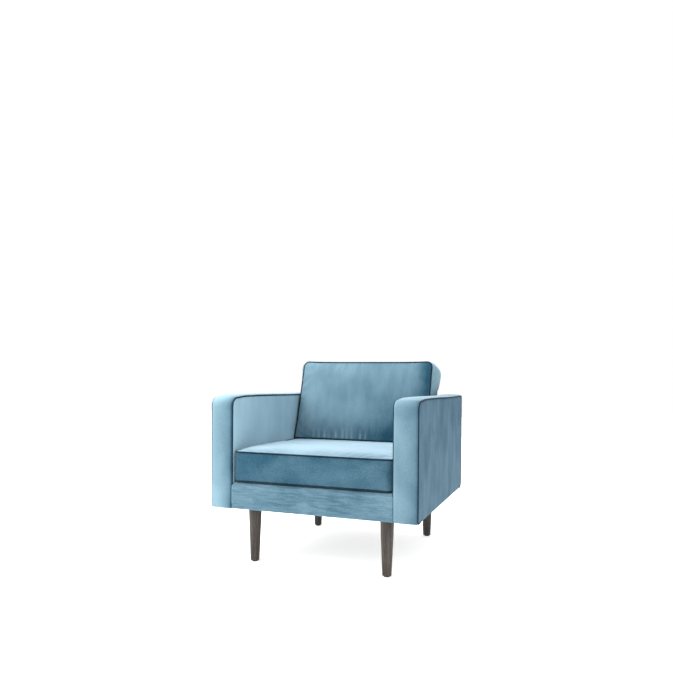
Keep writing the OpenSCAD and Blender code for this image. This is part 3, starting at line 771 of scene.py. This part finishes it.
EDGE_FOLD = np.array([2, 2, 2]) * MM
REAR_FOLD = np.array([14, 9, 2]) * MM  # turned in beside the arms' rounded rear corners, and under the back
inside_low, inside_high = span("inside_back_panel")
top_low, top_high = span("back_top_band")
rear_low, rear_high = span("outside_back_panel")
x_in = inside_high[0] - 0.4 * MM
LEAN = math.atan2(inside_high[1] - inside_low[1], inside_high[2] - inside_low[2])
width_x = (2 * x_in, 0, 0)
slope = np.array([0, inside_high[1] - 3 * MM - inside_low[1], inside_high[2] - inside_low[2]])
face_out = np.array([0, -math.cos(LEAN), math.sin(LEAN)])


def back_cover(names, corner, second, out, step, crown, fold, cloth, behind, nap_and_shade):
    """One stretched piece of the fixed back, from arm to arm.

    names are the solid part's and its own.
    """
    node, name = names
    points, faces = panel_grid((-x_in, *corner), width_x, second, out, step, crown, fold)
    pad = new_piece(name, points, faces, "chair", "velvet", cloth, behind, nap_and_shade, CLOTH, [node])


names = ("inside_back_panel", "inside_back_velvet")
back_cover(names, inside_low[1:], slope, face_out, 9 * MM, 0.6 * MM, EDGE_FOLD, boxing_velvet, (0, 1, 0), 0.3)
names, corner = ("back_top_band", "back_top_velvet"), (top_low[1], top_high[2])
second = (0, top_high[1] - top_low[1], 0)
back_cover(names, corner, second, (0, 0, 1), 6 * MM, 2.2 * MM, EDGE_FOLD, band_velvet, (0, 0.3, 0), 0.4)
names, corner = ("outside_back_panel", "outside_back_velvet"), (rear_high[1], rear_low[2])
second = (0, 0, rear_high[2] - rear_low[2])
back_cover(names, corner, second, (0, 1, 0), 8 * MM, 2.4 * MM, REAR_FOLD, shaded_panel_velvet, (0, 0, 0.4), 0.3)

cord_low, cord_high = span("back_piping")
straight = even(-x_in, x_in, 8 * MM)
level = np.full(len(straight), cord_high[2] - PIPING_R)
seams = (
    np.column_stack([straight, np.full(len(straight), y), level])
    for y in (cord_low[1] + PIPING_R, cord_high[1] - PIPING_R)
)
points, faces = as_one(*(cord(seam, PIPING_R, False) for seam in seams))
look = ("chair", "piping_velvet", piping_velvet)
new_piece("back_piping_velvet", points, faces, *look, nap_and_shade=0.15, stands_for=["back_piping"])
print("the back leans", round(math.degrees(LEAN), 1), "degrees")

# %% [markdown]
# ## Loose cushions
# A loose cushion is a foam core in a boxed cover that is cut a little larger than the
# foam, so the cloth swells between its seams and puckers beside them. Sculpting could
# draw that, but cloth simulation finds it by itself: the seams are pinned, air pressure
# blows the cover up, gravity is off, and a soft cap stops it where the foam would.
#
# The parts that rest on something, such as the seat's underside, are pinned whole.


# %% Blow up a cover
CLOTH_FRAMES = 20


def blown_up(piece, held, pressure=4.0, slack=-0.012):
    """The points of a piece after a cloth simulation under pressure.

    held marks the points that don't move, and slack is negative where the cloth is cut larger
    than its shape.
    """
    group = piece.vertex_groups.new(name="held")
    group.add(np.flatnonzero(held).tolist(), 1.0, "REPLACE")
    cloth = piece.modifiers.new("cover", "CLOTH")
    settings = cloth.settings
    settings.quality = 6
    settings.mass = 0.25
    settings.tension_stiffness = settings.compression_stiffness = 12
    settings.shear_stiffness = 6
    settings.bending_stiffness = 0.35
    settings.shrink_min = slack
    settings.use_pressure = True
    settings.uniform_pressure_force = pressure
    settings.vertex_group_mass = "held"
    settings.effector_weights.gravity = 0
    cloth.collision_settings.use_collision = False
    cloth.point_cache.frame_start, cloth.point_cache.frame_end = 1, CLOTH_FRAMES
    for number in range(1, CLOTH_FRAMES + 1):
        scene.frame_set(number)
    moved = piece.evaluated_get(bpy.context.evaluated_depsgraph_get()).data
    points = np.empty(len(moved.vertices) * 3)
    moved.vertices.foreach_get("co", points)
    scene.frame_set(1)
    piece.modifiers.remove(cloth)
    piece.vertex_groups.remove(group)
    return points.reshape(-1, 3)


def capped(move, limit):
    """Moves of any size eased under a limit: limit times the hyperbolic tangent of move over
    limit."""
    return limit * np.tanh(move / limit)


def new_cushion(form, points, word, face_cloth):
    """A cushion's cover as one piece: the face cloth on its two faces, and the boxing cloth
    round its edge."""
    piece = new_piece(
        f"{word}_cushion_velvet",
        points,
        np.vstack([form.low_faces, form.high_faces, form.band_faces]),
        f"{word}_cushion",
        "velvet",
        face_cloth,
        stands_for=[f"{word}_cushion_cover", f"{word}_cushion_core"],
    )
    piece.data.materials.append(boxing_velvet)
    cloth_number = np.zeros(len(piece.data.polygons), np.int32)
    cloth_number[-len(form.band_faces) :] = 1
    piece.data.polygons.foreach_set("material_index", cloth_number)
    return piece


def finish_cushion(piece, points, nap_and_shade):
    """Writes a cushion's shaped points and the lie of its pile with its painted light and shade, and adds one
    subdivision, the same in the viewport and the render."""
    piece.data.vertices.foreach_set("co", np.asarray(points, np.float32).ravel())
    piece.data.update()
    piece.data.attributes["nap_and_shade"].data.foreach_set("value", nap_and_shade.astype(np.float32))
    layer = piece.modifiers.new("smooth", "SUBSURF")
    layer.levels = layer.render_levels = 1


# %% Seat cushion
SEAT_RADIUS = 20 * MM
seat_low, seat_high = span("seat_cushion_cover")
seat_form = boxed(
    finer_at_ends(seat_low[0], seat_high[0], 9 * MM, 5 * MM, 20 * MM),
    finer_at_ends(seat_low[1], seat_high[1], 9 * MM, 5 * MM, 20 * MM),
    finer_at_ends(seat_low[2], seat_high[2], 8 * MM, 4 * MM, 16 * MM),
    np.full(4, SEAT_RADIUS),
)
upholster(seat_form, (0.0, 3 * MM), 1.5 * MM, SEAM_IN, 6 * MM)
seat_piece = new_cushion(seat_form, seat_form.points, "seat", top_velvet)
PRESSED_FROM, PRESSED_OVER = -150 * MM, 270 * MM  # where the back cushion's weight starts to tell


def seat_shape(form, move):
    """The blown-up seat: its top eased under 15 mm, with a quick first rise beside the seam
    where foam fills the cloth, its front boxing under 6 mm, its sides kept clear of the arms,
    and its top pressed level under the back cushion."""
    start, top, band = form.points, form.face, form.boxing
    full = 5.5 * MM * (1 - np.exp(-form.far_depth / (14 * MM)))
    rise = full + capped(np.maximum(move[:, 2], 0), 9 * MM)
    points = start.copy()
    points[top, 2] += (rise * fall_off(start[:, 1] - PRESSED_FROM, PRESSED_OVER))[top]
    points[top, :2] += capped(move[top, :2], 3 * MM)
    limit = np.where(abs(start[:, 0]) > seat_high[0] - 12 * MM, 1.2 * MM, 5 * MM)
    points[band, :2] += capped(move[:, :2], limit[:, None])[band]
    points[band, 2] += capped(move[band, 2], 2 * MM)
    return points


def seat_painted_shade_and_pile(form):
    """Painted shade on the seat, carried as the lie of its pile: its top is lighter on the left and painted
    darker towards the right, and its boxing is dark, a little less so on the right."""
    nap_and_shade = np.full(len(form.points), 0.3)
    across = (form.points[:, 0] - seat_low[0]) / (seat_high[0] - seat_low[0])
    nap_and_shade[form.high] = (0.42 - 0.22 * across**2)[form.high]
    nap_and_shade[form.boxing] = (0.05 + 0.06 * across)[form.boxing]
    return nap_and_shade


move = blown_up(seat_piece, seat_form.held) - seat_form.points
seat_points = seat_shape(seat_form, move)
finish_cushion(seat_piece, seat_points, seat_painted_shade_and_pile(seat_form))
print("seat rises", round((seat_points[:, 2].max() - seat_high[2]) / MM, 1), "mm")


# %% Seat cushion's piping
def cushion_cords(word, form, origin, axes, radii, reshaped=None):
    """Two closed cords along a cushion's seams, moved as its cover is where reshaped is given."""
    a0, a1, b0, b1 = form.limits
    inset = np.array([1, -1, 1, -1]) * PIPING_IN
    edge = outline_points(np.array([a0, a1, b0, b1]) + inset, radii - PIPING_IN, PIPING_STEP)
    made = []
    for c in (form.c[0] + PIPING_IN, form.c[1] - PIPING_IN):
        path = np.column_stack([edge, np.full(len(edge), c)])
        made.append(cord(reshaped(path) if reshaped else path, PIPING_R, True, seed=int(c / MM)))
    points, faces = as_one(*made)
    look = (f"{word}_cushion", "piping_velvet", piping_velvet)
    node, name = f"{word}_cushion_piping", f"{word}_cushion_piping_velvet"
    return new_piece(name, put(points, origin, *axes), faces, *look, nap_and_shade=0.12, stands_for=[node])


cushion_cords("seat", seat_form, (0, 0, 0), np.eye(3), np.full(4, SEAT_RADIUS))

# %% [markdown]
# ## Back cushion
# The back cushion stands on the seat and leans on the fixed back. It is a boxed form laid
# in slanted directions: a runs across, b up the slope and c out of its front. Its underside
# is level, so b starts higher at the front than at the rear. Its cloth is gathered where
# the underside pulls on the front, which leaves a row of short upright folds.

# %% Lay out the back cushion
BACK_RADII = np.array([6, 6, 26, 26]) * MM
cushion_low, cushion_high = span("back_cushion_cover")
BACK_THICK = 140 * MM
BACK_TALL = 362 * MM
EAR = 4.5 * MM
FLARE = 3.0 * MM
half_width = cushion_high[0]
across_axis = np.array([1.0, 0.0, 0.0])
up_axis = np.array([0.0, math.sin(LEAN), math.cos(LEAN)])
front_axis = np.array([0.0, -math.cos(LEAN), math.sin(LEAN)])
# b and c start one thickness behind where the front face's slope meets the level underside
back_start = np.array([0.0, cushion_low[1], cushion_low[2]]) - BACK_THICK * front_axis


def above_foot(points):
    """How far points lie up the slope from the level underside, which is the tangent of the
    lean times the way back from the front face."""
    return points[:, 1] - (BACK_THICK - points[:, 2]) * math.tan(LEAN)


def level_underside(points):
    """Lifts the foot of the cushion by the tangent of the lean times the way back from the
    front face, fading to nothing at its top. The top's corners are drawn up by EAR, and the
    foot's corners spread by FLARE under the load."""
    fade = 1 - np.clip(points[:, 1] / BACK_TALL, 0, 1)
    sideways = abs(points[:, 0]) / half_width
    lifted = points.copy()
    lifted[:, 1] += (BACK_THICK - points[:, 2]) * math.tan(LEAN) * fade
    lifted[:, 1] += EAR * sideways**5 * (1 - fade) ** 3
    low_down = fall_off(points[:, 1] - 20 * MM, 70 * MM)
    lifted[:, 0] += FLARE * np.sign(points[:, 0]) * sideways**6 * low_down
    return lifted


back_form = boxed(
    finer_at_ends(-half_width, half_width, 4.5 * MM, 5 * MM, 26 * MM),
    finer_at_ends(0, BACK_TALL, 9 * MM, 5 * MM, 26 * MM),
    finer_at_ends(0, BACK_THICK, 8 * MM, 4 * MM, 16 * MM),
    BACK_RADII,
)
upholster(back_form, (0.0, 3 * MM), 1.5 * MM, SEAM_IN, 6 * MM)
back_form.points = level_underside(back_form.points)
back_axes = (across_axis, up_axis, front_axis)
back_start_points = put(back_form.points, back_start, *back_axes)
back_piece = new_cushion(back_form, back_start_points, "back", cushion_velvet)

# %% Shape the back cushion
GATHERS = 10
GATHER_DEEP = 5.5 * MM
GATHER_TALL = 76 * MM


def gathers(a, height):
    """Short upright folds along the foot, most of them left of the middle: a sum of bells
    across, at uneven places, each with its own depth, width and height."""
    draw = np.random.default_rng(21)
    places = np.linspace(-0.215, 0.03, GATHERS) + draw.uniform(-7, 7, GATHERS) * MM
    depths = draw.uniform(0.5, 1.0, GATHERS) * GATHER_DEEP
    reaches = draw.uniform(0.6, 1.0, GATHERS) * GATHER_TALL
    widths = draw.uniform(4.5, 7.0, GATHERS) * MM
    bells = np.exp(-(((a[:, None] - places) / widths) ** 2)) * depths
    rise = np.clip(height[:, None] / (7 * MM), 0, 1)
    return (bells * rise * fall_off(height[:, None], reaches)).sum(1)


def back_shape(form, move):
    """The blown-up back cushion: its front eased under 14 mm, its top under 4 mm, its sides
    under 9 mm above the arms and 1 mm between them, with gathers along its foot."""
    start, front, band = form.points, form.face, form.boxing
    points = start.copy()
    points[front, 2] += 1.0 * MM + capped(np.maximum(move[front, 2], 0), 13 * MM)
    points[front, :2] += capped(move[front, :2], 3 * MM)
    foot_height = above_foot(start)
    points[front, 2] += gathers(start[front, 0], foot_height[front])
    height = back_start_points[:, 2]
    free = 1 - fall_off(height - span("left_arm_band")[1][2] + 5 * MM, 45 * MM)
    at_side = abs(start[:, 0]) > half_width - 14 * MM
    limit = np.where(at_side, (1.0 + 7 * free) * MM, 4.5 * MM)
    points[band, :2] += capped(move[:, :2], limit[:, None])[band]
    points[band, 2] += capped(move[band, 2], 2 * MM)
    full = 1 - abs(np.linspace(-1, 1, len(form.rings))[1:-1, None]) ** 2.5
    inner_rings = form.rings[1:-1]
    ear = (4 + 12 * fall_off(BACK_TALL - start[:, 1], 0.13)) * MM
    points[inner_rings, 0] += form.outward[:, 0] * full * (free * ear)[inner_rings]
    points[inner_rings, 1] += np.clip(form.outward[:, 1], 0, 1) * full * 2.5 * MM
    under = band & (foot_height < 2 * MM)
    points[under] = start[under]
    return points


def back_painted_shade_and_pile(form):
    """Painted light and shade on the back cushion, carried as the lie of its pile. The front is painted
    lighter to the left, towards the light, with painted highlight on the folds, and painted shade darkens its
    foot, its right edge and a place low on the right. Its boxing is lighter towards the right.
    """
    nap_and_shade = np.full(len(form.points), 0.4)
    u = (form.points[:, 0] + half_width) / (2 * half_width)
    v = form.points[:, 1] / BACK_TALL
    fold = gathers(form.points[:, 0], above_foot(form.points)) / GATHER_DEEP
    low_right = fall_off(np.hypot((u - 0.85) / 0.5, v / 0.75), 1)
    # painted shade at the foot, at the right edge and low on the right, and painted highlight on the folds
    front = 0.36 - 0.16 * u + 0.05 * v - 0.1 * fall_off(v, 0.35) - 0.30 * fall_off(1 - u, 0.13)
    front += 0.34 * fold - 0.22 * low_right
    nap_and_shade[form.high] = front[form.high]
    nap_and_shade[form.boxing] = (0.42 + 0.20 * u)[form.boxing]
    return nap_and_shade


move = (blown_up(back_piece, back_form.held) - back_start_points) @ np.array(back_axes).T
back_points = back_shape(back_form, move)
finish_cushion(back_piece, put(back_points, back_start, *back_axes), back_painted_shade_and_pile(back_form))
deepest = gathers(back_form.points[:, 0], np.full(len(back_form.points), 12 * MM)).max()
print("gathers", round(float(deepest / MM), 2), "mm deep")
print("back cushion swells", round((back_points[:, 2].max() - BACK_THICK) / MM, 1), "mm at the front")

cushion_cords("back", back_form, back_start, back_axes, BACK_RADII, level_underside)

# %% [markdown]
# ## Cloths under the seat
# Two plain sheets finish the seat box. A lining cloth is stretched over the felt, under
# the seat cushion, and a black dust cover is stapled under the frame, cut round the legs.
#
# Both are flat grids with a slight sag. The dust cover's holes are made by dropping the
# faces inside each leg's circle and moving the points left on the rim onto it.


# %% Woven and bonded cloths
def woven(name, first, second, thread, rough=0.85):
    """Plain weave: two square waves of thread mm, crossing, with slubs.

    It gives a dull, even, slightly ribbed face.
    """
    material, tree = new_material(name)
    at = add_node(tree, "ShaderNodeTexCoord").outputs["Object"]
    thread_wave = {"Vector": at, "Scale": 1 / (thread * MM * 3.2), "Distortion": 0.6, "Detail": 1.0}
    warp, weft = (
        add_node(tree, "ShaderNodeTexWave", thread_wave, bands_direction=direction).outputs["Fac"]
        for direction in ("X", "Y")
    )
    weave = add_node(tree, "ShaderNodeMath", {0: warp, 1: weft}, operation="MULTIPLY").outputs[0]
    _, slubs = clouds(tree, (30, 4, 4), 0.0, 0.5)
    share = add_node(tree, "ShaderNodeMath", {0: weave, 1: slubs}, operation="ADD", use_clamp=True).outputs[0]
    colours = {0: share, 6: linear(first), 7: linear(second)}
    ribs = {"Height": weave, "Distance": 0.3 * MM, "Strength": 1.0}
    cloth = add_node(
        tree,
        "ShaderNodeBsdfPrincipled",
        {
            "Base Color": add_node(tree, "ShaderNodeMix", colours, data_type="RGBA").outputs[2],
            "Roughness": rough,
            "Sheen Weight": 0.2,
            "Normal": add_node(tree, "ShaderNodeBump", ribs).outputs["Normal"],
        },
    )
    return finish_material(material, tree, cloth.outputs["BSDF"])


# the lining's real threads are 0.4 mm, and the dust cover's fibres finer: both are drawn coarser to show
lining = woven("cotton_lining_plain_weave", "#1F2226", "#3A3F45", 2.0)
cambric = woven("spunbond_dust_cover", "#0C0D0E", "#232527", 1.6, 0.95)

LINING_SAG, LINING_RIPPLE = 0.9 * MM, 0.5 * MM
deck_low, deck_high = span("deck_cloth")
deck_x = even(deck_low[0] + 1 * MM, deck_high[0] - 1 * MM, 9 * MM)
u, v = np.meshgrid(deck_x, even(deck_low[1], deck_high[1], 9 * MM), indexing="ij")
full = (1 - (u / u.max()) ** 4) * (1 - ((v - v.mean()) / (v.max() - v.mean())) ** 4)
sag = deck_high[2] + full * (LINING_SAG + LINING_RIPPLE * ripple(u, v, 0.12, 9))
deck_piece = new_piece(
    "deck_cloth_lining",
    np.stack([u, v, sag], -1).reshape(-1, 3),
    grid_faces(*u.shape),
    "chair",
    "deck_lining",
    lining,
    behind=(0, 0, 0),
    thick=0.8 * MM,
    stands_for=["deck_cloth"],
)
print("deck cloth", round((u.max() - u.min()) / MM), "by", round((v.max() - v.min()) / MM), "mm")

# %% Dust cover
LEG_HOLE = 27.8 * MM
CAMBRIC = 0.5 * MM
DUST_FRONT = -377 * MM  # behind the front rail's fold
dust_high = span("dust_cover")[1]
legs = ["leg_front_left", "leg_front_right", "leg_rear_left", "leg_rear_right"]
leg_places = np.array([(np.array(span(leg)[0]) + span(leg)[1])[:2] / 2 for leg in legs])


def holed_sheet(x0, x1, y0, y1, z, sag, holes):
    """A level sheet that sags in the middle, with the faces inside each hole dropped and the
    rim's points moved onto its circle."""
    grid_x, grid_y = np.meshgrid(even(x0, x1, 7 * MM), even(y0, y1, 7 * MM), indexing="ij")
    points = np.stack([grid_x.ravel(), grid_y.ravel(), np.zeros(grid_x.size)], 1)
    sheet_faces = grid_faces(*grid_x.shape)
    dropped = np.zeros(len(sheet_faces), bool)
    for hole in holes:
        far = np.hypot(*(points[:, :2] - hole).T)
        dropped |= (far[sheet_faces] < LEG_HOLE + 2 * MM).all(1)
    rim = np.intersect1d(sheet_faces[dropped], sheet_faces[~dropped])
    for hole in holes:
        off = points[rim, :2] - hole
        far = np.hypot(*off.T)
        near = far < 3 * LEG_HOLE
        points[rim[near], :2] = hole + off[near] / far[near, None] * LEG_HOLE
    s, t = 2 * (points[:, 0] - x0) / (x1 - x0) - 1, 2 * (points[:, 1] - y0) / (y1 - y0) - 1
    points[:, 2] = z - sag * (1 - s**4) * (1 - t**4) * (1 + 0.3 * ripple(points[:, 0], points[:, 1], 0.15, 4))
    return points, sheet_faces[~dropped]


strip_out = span("right_arm_band")[1][0]
strip_in = span("right_arm_inner_panel")[0][0]
strip_z = span("right_arm_band")[0][2] - 2 * MM  # just under the band's swollen underside
STRIP_IN, STRIP_HALF = 8 * MM, 355 * MM
main_x = strip_in - 0.5 * MM
dust_z = dust_high[2] - 1.2 * MM
dust_points, dust_faces = holed_sheet(-main_x, main_x, DUST_FRONT, dust_high[1], dust_z, 3 * MM, leg_places)
hung = ("chair", "cambric", cambric, (0, 0, 1))
dust_piece = new_piece(
    "dust_cover_cambric", dust_points, dust_faces, *hung, thick=CAMBRIC, stands_for=["dust_cover"]
)
for side, word in ((-1, "left"), (1, "right")):
    x0, x1 = sorted((side * (strip_in + STRIP_IN), side * (strip_out - STRIP_IN)))
    points, faces = holed_sheet(x0, x1, -STRIP_HALF, STRIP_HALF, strip_z, 0.3 * MM, [])
    strip = new_piece(f"{word}_arm_dust_strip", points, faces, *hung, thick=CAMBRIC)

# %% [markdown]
# ## Legs
# The legs are turned, tapered beech, stained grey brown. A turned part is a profile spun
# round its axis: a straight taper, an eased edge at the foot, and a flat top against its
# plate. Stain sinks into the open grain, so the grain lines are darker than the wood.


# %% Wood
GRAIN = 3.0  # mm


def stained_wood(name, dark, light, rough=0.5):
    """Wood with its grain along Z, GRAIN wide: long streaks, fine pores and a satin clear coat."""
    material, tree = new_material(name)
    _, streaks = clouds(tree, (GRAIN * 2.5, GRAIN * 2.5, 120), detail=3.0, width=0.2)
    pores, pore_tone = clouds(tree, (GRAIN * 0.7, GRAIN * 0.7, 12), -0.25, 0.1, 2.0, (1.0, 4.0, 2.0))
    tones = {0: streaks, 1: pore_tone}
    share = add_node(tree, "ShaderNodeMath", tones, operation="ADD", use_clamp=True).outputs[0]
    colours = {0: share, 6: linear(dark), 7: linear(light)}
    pits = {"Height": pores, "Distance": 0.12 * MM, "Strength": 1.0}
    wood = add_node(
        tree,
        "ShaderNodeBsdfPrincipled",
        {
            "Base Color": add_node(tree, "ShaderNodeMix", colours, data_type="RGBA").outputs[2],
            "Roughness": rough,
            "Specular IOR Level": 0.4,
            "Normal": add_node(tree, "ShaderNodeBump", pits).outputs["Normal"],
        },
    )
    return finish_material(material, tree, wood.outputs["BSDF"])


# painted shade: the front right leg shows the plain stain, and the others are painted darker for the shade
# under the chair, the rear left near black for the chair's shadow
leg_stain_and_shade = {
    "leg_front_left": stained_wood("beech_stain_painted_shade_brown", "#1A1511", "#433A31"),
    "leg_front_right": stained_wood("beech_stained_grey_brown", "#1E1814", "#4C4239"),
    "leg_rear_left": stained_wood("beech_stain_painted_shadow_near_black", "#0E0D0C", "#272421"),
    "leg_rear_right": stained_wood("beech_stain_painted_shade_dark_brown", "#16120F", "#39322B"),
}


# %% Turn the legs
LEG_SIDES = 48


def turned(name, centre, profile, sides, body, slot, material, stands_for):
    """A profile of (radius, height) pairs spun round a vertical axis.

    Its two ends are closed by rings that shrink to a point.
    """
    angle = np.arange(sides) * 2 * math.pi / sides
    radius, height = np.array(profile).T
    x, y = (c + radius[:, None] * turn(angle) for c, turn in zip(centre, (np.cos, np.sin)))
    points = np.stack([x, y, np.repeat(height[:, None], sides, 1)], -1).reshape(-1, 3)
    faces = grid_faces(len(profile), sides, joined=True)
    return new_piece(name, points, faces, body, slot, material, stands_for=stands_for)


def leg_profile(top_r, foot_r, top_z, foot_z):
    """A tapered leg from its foot up: a closed end, a 2 mm eased edge, the taper in eight
    steps, a 1 mm eased edge and a closed end."""
    ease, top_ease, point = 2 * MM, 1 * MM, 1e-5
    turn = np.radians(even(-90, 0, 22.5))
    foot = np.column_stack([foot_r - ease + ease * np.cos(turn), foot_z + ease + ease * np.sin(turn)])
    share = np.linspace(0, 1, 9)[1:]
    rise = top_z - top_ease - foot_z - ease
    side = np.column_stack([foot_r + (top_r - foot_r) * share, foot_z + ease + rise * share])
    ends = (
        ((point, foot_z), (foot_r / 2, foot_z)),
        ((top_r - top_ease, top_z), (top_r / 2, top_z), (point, top_z)),
    )
    return np.vstack([ends[0], foot, side, ends[1]])


def widest_at(node, low_end):
    """The radius of a solid round part at its bottom or top: half the width of its points at
    that end."""
    points = np.array([v.co for v in frame["nodes"][node].data.vertices])
    z = points[:, 2].min() if low_end else points[:, 2].max()
    ring = points[abs(points[:, 2] - z) < 0.5 * MM]
    return float(np.ptp(ring[:, 0]) / 2)


for leg in legs:
    low, high = span(leg)
    profile = leg_profile(widest_at(leg, False), widest_at(leg, True), high[2], low[2])
    centre = (low + high)[:2] / 2
    turned(f"{leg}_wood", centre, profile, LEG_SIDES, "chair", "stained_leg_wood", leg_stain_and_shade[leg], [leg])
print("legs", len(legs), "foot radius", round(widest_at(legs[0], True) / MM, 1), "mm")

# %% [markdown]
# ## Zips
# Each cushion opens along a zip: a woven tape, two rows of interlocked teeth and a slider with a pull, of
# which the tape and the teeth are made here. Hundreds of teeth are one small shape repeated, so one tooth is
# made and its points are shifted along the tape as a whole array.


# %% Metals and other mottled finishes
def mottled(name, dark, light, size, rough, depth=0.1, metallic=0.0):
    """Blobs or scratches of size mm in two near colours, with a matching bump depth mm deep."""
    material, tree = new_material(name)
    grain, tone = clouds(tree, size, detail=3.0, width=0.2)
    colours = {0: tone, 6: linear(dark), 7: linear(light)}
    relief = {"Height": grain, "Distance": depth * MM, "Strength": 1.0}
    surface = add_node(
        tree,
        "ShaderNodeBsdfPrincipled",
        {
            "Base Color": add_node(tree, "ShaderNodeMix", colours, data_type="RGBA").outputs[2],
            "Metallic": metallic,
            "Roughness": rough,
            "Normal": add_node(tree, "ShaderNodeBump", relief).outputs["Normal"],
        },
    )
    return finish_material(material, tree, surface.outputs["BSDF"])


zip_cloth = woven("polyester_zip_tape", "#20394A", "#3D6078", 1.2)
# cast and plated metal keep fine scratches over a satin face
zip_alloy = mottled("cast_zinc_zip", "#8C8F92", "#D9DBDD", (6, 0.9, 0.9), 0.35, 0.03, metallic=1.0)
plated_steel = mottled("zinc_plated_steel", "#9A9DA0", "#D9DBDD", (14, 2.1, 2.1), 0.42, 0.03, metallic=1.0)

# %% Make the zip tapes
TAPE_HALF = 9.5 * MM
TOOTH_STEP = 2.5 * MM
TOOTH_FOOT, TOOTH_TOP = 0.9, 1.9  # mm above the tape's back
TOOTH_OUTLINE = ((-0.8, -2.1), (0.8, -1.5), (0.8, 1.5), (-0.8, 2.1))  # mm along and across
BLOCK_SIDES = np.array([(0, 3, 2, 1), (4, 5, 6, 7), (0, 1, 5, 4), (1, 2, 6, 5), (2, 3, 7, 6), (3, 0, 4, 7)])


def zip_parts(word, across, out):
    """A cushion's tape with a raised rib each side, and a row of teeth down its middle.

    Teeth are one eight-point block, stepped along.
    """
    low, high = span(f"{word}_zip_tape")
    along, across, out = np.array([1.0, 0, 0]), np.array(across, float), np.array(out, float)
    middle = (low + high) / 2 - out * (high - low) / 2
    length = high[0] - low[0]
    run, side = even(-length / 2, length / 2, 6 * MM), even(-TAPE_HALF, TAPE_HALF, TAPE_HALF / 5)
    s, t = np.meshgrid(run, side, indexing="ij")
    lift = (0.7 + 0.35 * np.cos(t / TAPE_HALF * 2 * math.pi)) * MM
    tape = (middle + s[..., None] * along + t[..., None] * across + lift[..., None] * out).reshape(-1, 3)
    look = (f"{word}_cushion", "zip_tape", zip_cloth, middle - out)
    name, node = f"{word}_zip_tape_woven", f"{word}_zip_tape"
    new_piece(name, tape, grid_faces(*s.shape), *look, thick=0.7 * MM, stands_for=[node])
    box = np.array([(x, y, z) for z in (TOOTH_FOOT, TOOTH_TOP) for x, y in TOOTH_OUTLINE]) * MM
    steps = even(-length / 2 + 2 * MM, length / 2 - 2 * MM, TOOTH_STEP)
    flip = np.where(np.arange(len(steps)) % 2, -1, 1)
    local = box[None] * np.stack([flip, np.ones_like(flip), np.ones_like(flip)], 1)[:, None]
    local[..., 0] += steps[:, None]
    teeth = middle + local.reshape(-1, 3) @ np.array([along, across, out])
    faces = BLOCK_SIDES[None] + 8 * np.arange(len(steps))[:, None, None]
    faces[flip < 0] = faces[flip < 0][:, :, ::-1]
    new_piece(f"{word}_zip_teeth", teeth, faces.reshape(-1, 4), f"{word}_cushion", "zip_metal", zip_alloy)


zip_parts("seat", (0, 0, 1), (0, 1, 0))
zip_parts("back", (0, 1, 0), (0, 0, -1))
print("zips made")

# %% [markdown]
# ## Inside parts
# The frame, webbing, felt and foam only show when a cushion is lifted, yet each keeps its
# own finish. They are the solid parts as they came, so only materials are added.


# %% Finish the solid parts
solid_finishes = {
    "frame_timber": mottled("sawn_birch", "#B98F5C", "#D9B583", (60, 60, 4), 0.7),
    "hardboard": mottled("pressed_hardboard", "#6B4A2E", "#83603F", (2, 2, 2), 0.75),
    "webbing": mottled("elastic_webbing", "#4A2E20", "#7A5238", (3, 3, 3), 0.8, 0.3),
    "felt": mottled("needled_felt", "#8A8A86", "#B9B8B2", (9, 9, 3), 0.95, 0.4),
    "foam": mottled("open_cell_foam", "#D8C98C", "#EADFAE", (2.5, 2.5, 2.5), 0.95, 0.3),
    "zinc_steel": plated_steel,
    "zip_metal": zip_alloy,
    "glide_plastic": mottled("moulded_polyethylene", "#15171A", "#24272A", (20, 20, 20), 0.4, 0.02),
}
kept = 0
slot_of = {part["node"]: part["material_slot"] for part in frame["record"]["subparts"]}
for node_name, node in frame["nodes"].items():
    if node.hide_render:
        continue
    node.data.materials.clear()
    node.data.materials.append(solid_finishes[slot_of[node_name]])
    kept += 1
print("solid parts that show", kept)
